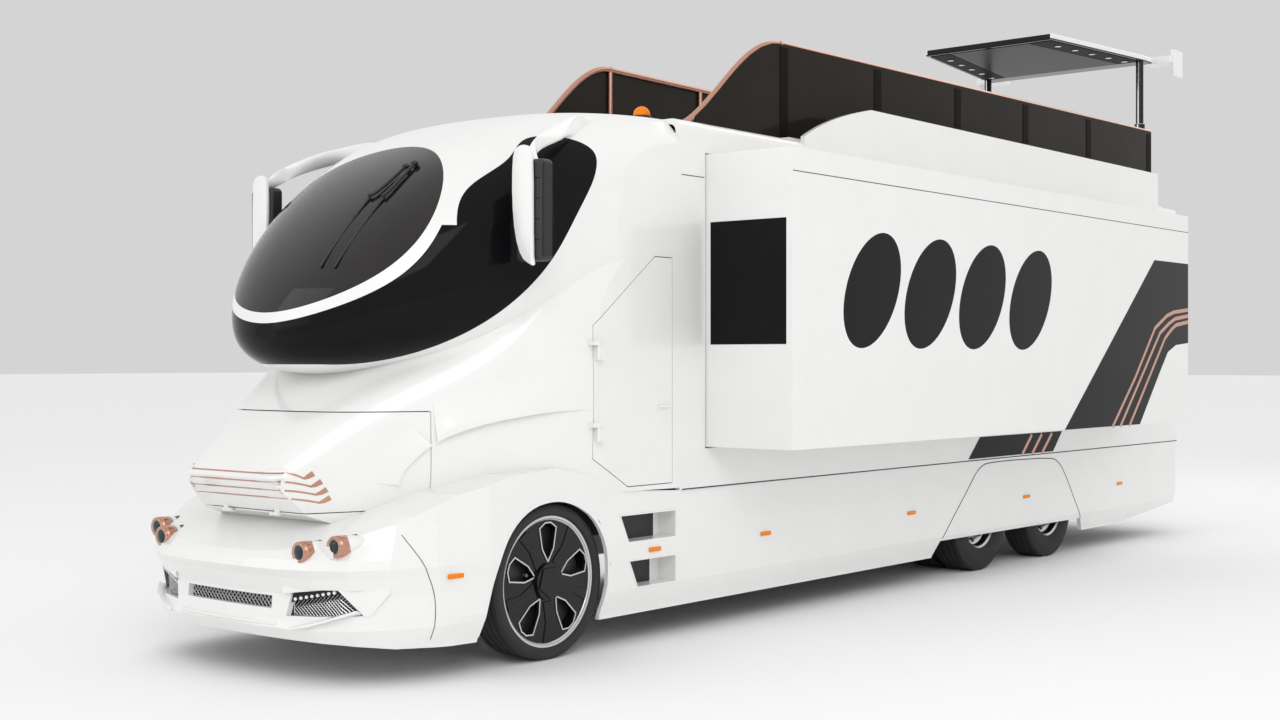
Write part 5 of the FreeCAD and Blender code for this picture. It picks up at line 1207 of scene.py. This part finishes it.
HANDLES = (("cab", -1.08, 1.62, False, "cab_door_body"),
           ("entrance", -4.03, 2.05, True, "entrance_door_body"))
DISH_SIZES = (0.075, -0.002, 0.0015, 0.03, 0.0012)
GRIP_SIZES = (0.062, 0.003, 0.017, 0.011, 0.006, 3)
FOOT_SIZES = (0.008, 0.0, 0.006, 0.008, 0.002)
FOOT_SHIFT = 0.052
TAIL_LAMP_LOW, TAIL_LAMP_HIGH = 1.07, 1.19
TAIL_CASE_LOW, TAIL_CASE_HIGH, TAIL_CASE_EDGE = 1.238, 2.012, 0.012
REFLECTOR_MIDDLE, REFLECTOR_HALF, REFLECTOR_LOW, REFLECTOR_HIGH = 0.90, 0.06, 0.82, 0.86
TAIL_LENSES = ((1.25, 1.50, "red_lens"), (1.51, 1.64, "amber"), (1.65, 1.87, "red_lens"),
               (1.88, 2.00, "lamp"))
PLATE_PARTS = (("plate_holder", -0.010, 0.002, 0.27, 0.76, 0.89, 0.004, "satin_black"),
               ("plate_blank", -0.013, -0.009, 0.26, 0.77, 0.88, 0.0015, "white_paint"),
               ("plate_lamp", -0.030, 0.002, 0.06, 0.905, 0.930, 0.006, "satin_black"))


class MOTORHOME_OT_flanks(bpy.types.Operator):
    """Draw the line above the skirts and set handles on both doors"""

    bl_idname = "motorhome.flanks"
    bl_label = "Flanks"

    def execute(self, context):
        wide = context.scene.motorhome.seam_width * 1.6
        back, _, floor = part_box("house_shell")[0]
        for side, name in ((1.0, "left"), (-1.0, "right")):
            y = (HALF_WIDTH + SEAM_LIFT) * side
            seam("skirt_line_" + name, -1.29, back + 0.01, floor + 0.004, wide, y, LEFT * side)
        for name, x, z, mirror, body in HANDLES:
            dish = self.around("handle_dish_" + name, x, z, *DISH_SIZES)
            grip = self.around("handle_" + name, x, z, *GRIP_SIZES)
            feet = [self.around("foot", x + shift, z, *FOOT_SIZES) for shift in (-FOOT_SHIFT, FOOT_SHIFT)]
            for piece in (dish, joined([grip, *feet], grip.name)):
                if mirror:
                    piece.data.transform(Matrix.Scale(-1.0, 4, LEFT))
                    piece.data.flip_normals()
                place(piece, "white_paint", body)
        return {"FINISHED"}

    def around(self, name, x, z, long, inner, outer, tall, bevel, segments=2):
        """A block on the left side, given by its middle, half its length and height, and its two depths."""
        return block(name, (x - long, HALF_WIDTH + inner, z - tall),
                     (x + long, HALF_WIDTH + outer, z + tall), bevel, segments)


class MOTORHOME_OT_rear(bpy.types.Operator):
    """Dress the rear: lamp clusters, reflectors, a blank plate with its lamp and the window's frame"""

    bl_idname = "motorhome.rear"
    bl_label = "Rear"

    def execute(self, context):
        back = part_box("house_shell")[0][0]
        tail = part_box("tail_skirt")[0][0]
        for side, label in ((1.0, "left"), (-1.0, "right")):
            low_y, high_y = sorted((TAIL_LAMP_LOW * side, TAIL_LAMP_HIGH * side))
            case = block("tail_lamp_frame_" + label, (back - 0.018, low_y - TAIL_CASE_EDGE, TAIL_CASE_LOW),
                         (back + 0.004, high_y + TAIL_CASE_EDGE, TAIL_CASE_HIGH), bevel=0.008, segments=3)
            place(case, "gloss_black")
            for number, (low_z, high_z, material) in enumerate(TAIL_LENSES):
                lens = block("tail_lamp_%s_%d" % (label, number), (back - 0.034, low_y, low_z),
                             (back - 0.010, high_y, high_z), bevel=0.010, segments=3)
                place(lens, material)
            middle = REFLECTOR_MIDDLE * side
            reflector = block("tail_reflector_" + label,
                              (tail - 0.008, middle - REFLECTOR_HALF, REFLECTOR_LOW),
                              (tail + 0.002, middle + REFLECTOR_HALF, REFLECTOR_HIGH), bevel=0.003)
            place(reflector, "red_lens")
        for name, outer, inner, half, low_z, high_z, bevel, material in PLATE_PARTS:
            place(block(name, (tail + outer, -half, low_z), (tail + inner, half, high_z), bevel), material)
        (_, right, foot), (_, left, top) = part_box("rear_window")
        for name, start, end in (("low", (right - 0.03, foot - 0.03), (left + 0.03, foot - 0.003)),
                                 ("top", (right - 0.03, top + 0.003), (left + 0.03, top + 0.03)),
                                 ("left", (left + 0.003, foot - 0.004), (left + 0.03, top + 0.004)),
                                 ("right", (right - 0.03, foot - 0.004), (right - 0.003, top + 0.004))):
            bar = block("rear_window_frame_" + name, (back - 0.006, *start), (back + 0.002, *end), 0.002)
            place(bar, "satin_black")
        return {"FINISHED"}


# Stage

FLOOR_SIZE = 400.0
LIGHTS = (("key", 650.0, 9.0, (9.0, 12.0, 11.0)), ("fill", 180.0, 10.0, (14.0, -8.0, 8.0)),
          ("back", 220.0, 10.0, (-16.0, 2.0, 12.0)))
LIGHT_AIM = (-4.0, 0.0, 1.5)
WORLD_LIGHT, BACKDROP = 0.86, 0.66
SENSOR_WIDTH, CLIP_END = 36.0, 500.0


class MOTORHOME_OT_stage(bpy.types.Operator):
    """Add the floor, the lights and the camera"""

    bl_idname = "motorhome.stage"
    bl_label = "Stage"

    def execute(self, context):
        settings = context.scene.motorhome
        floor = primitive("plane", "floor", size=FLOOR_SIZE, location=(0.0, 0.0, 0.0))
        finish("floor_paint", settings.floor_color, 0.9, bump=0.0, scale=0.2, spread=0.0)
        painted(floor, "floor_paint")
        add_world(context.scene)
        for name, energy, size, spot in LIGHTS:
            bpy.ops.object.light_add(type="AREA", location=spot)
            lamp = context.object
            lamp.name = name
            lamp.data.energy = energy
            lamp.data.size = size
            lamp.rotation_euler = (Vector(LIGHT_AIM) - Vector(spot)).to_track_quat("-Z", "Y").to_euler()
        bpy.ops.object.camera_add(location=settings.camera_place,
                                  rotation=(QUARTER_TURN, 0.0, settings.camera_turn - QUARTER_TURN))
        camera = context.object
        camera.data.lens = settings.lens
        camera.data.sensor_width = SENSOR_WIDTH
        camera.data.clip_end = CLIP_END
        context.scene.camera = camera
        context.scene.view_settings.view_transform = "Standard"
        return {"FINISHED"}


def add_world(scene):
    """A pale backdrop for the camera, and a plain light level for the rest."""
    world = bpy.data.worlds.new("studio")
    scene.world = world
    world.use_nodes = True
    nodes, links = world.node_tree.nodes, world.node_tree.links
    light = nodes["Background"]
    light.inputs["Color"].default_value = (1.0, 1.0, 1.0, 1.0)
    light.inputs["Strength"].default_value = WORLD_LIGHT
    seen = nodes.new("ShaderNodeBackground")
    seen.inputs["Color"].default_value = (BACKDROP, BACKDROP, BACKDROP, 1.0)
    seen.inputs["Strength"].default_value = 1.0
    path = nodes.new("ShaderNodeLightPath")
    mix = nodes.new("ShaderNodeMixShader")
    links.new(path.outputs["Is Camera Ray"], mix.inputs["Fac"])
    links.new(light.outputs["Background"], mix.inputs[1])
    links.new(seen.outputs["Background"], mix.inputs[2])
    links.new(mix.outputs["Shader"], nodes["World Output"].inputs["Surface"])


# Panel and registration

class MOTORHOME_PT_panel(bpy.types.Panel):
    """Lists the steps that dress the model"""

    bl_idname = "MOTORHOME_PT_panel"
    bl_label = "Motorhome"
    bl_space_type = "VIEW_3D"
    bl_region_type = "UI"
    bl_category = "Motorhome"

    def draw(self, context):
        column = self.layout.column()
        for operator in OPERATORS:
            column.operator(operator.bl_idname)


OPERATORS = (
    MOTORHOME_OT_finishes,
    MOTORHOME_OT_stripes,
    MOTORHOME_OT_seams,
    MOTORHOME_OT_markers,
    MOTORHOME_OT_vents,
    MOTORHOME_OT_tyres,
    MOTORHOME_OT_front_rims,
    MOTORHOME_OT_rear_rims,
    MOTORHOME_OT_grille,
    MOTORHOME_OT_lamps,
    MOTORHOME_OT_bumper,
    MOTORHOME_OT_mirrors,
    MOTORHOME_OT_wipers,
    MOTORHOME_OT_terrace,
    MOTORHOME_OT_canopy,
    MOTORHOME_OT_arches,
    MOTORHOME_OT_crests,
    MOTORHOME_OT_lower_front,
    MOTORHOME_OT_flanks,
    MOTORHOME_OT_rear,
    MOTORHOME_OT_stage,
)
CLASSES = (MotorhomeSettings, *OPERATORS, MOTORHOME_PT_panel)


def register():
    for entry in CLASSES:
        bpy.utils.register_class(entry)
    bpy.types.Scene.motorhome = PointerProperty(type=MotorhomeSettings)


def unregister():
    del bpy.types.Scene.motorhome
    for entry in reversed(CLASSES):
        bpy.utils.unregister_class(entry)


def main():
    register()
    for operator in OPERATORS:
        group, name = operator.bl_idname.split(".")
        getattr(getattr(bpy.ops, group), name)()


if __name__ == "__main__":
    main()
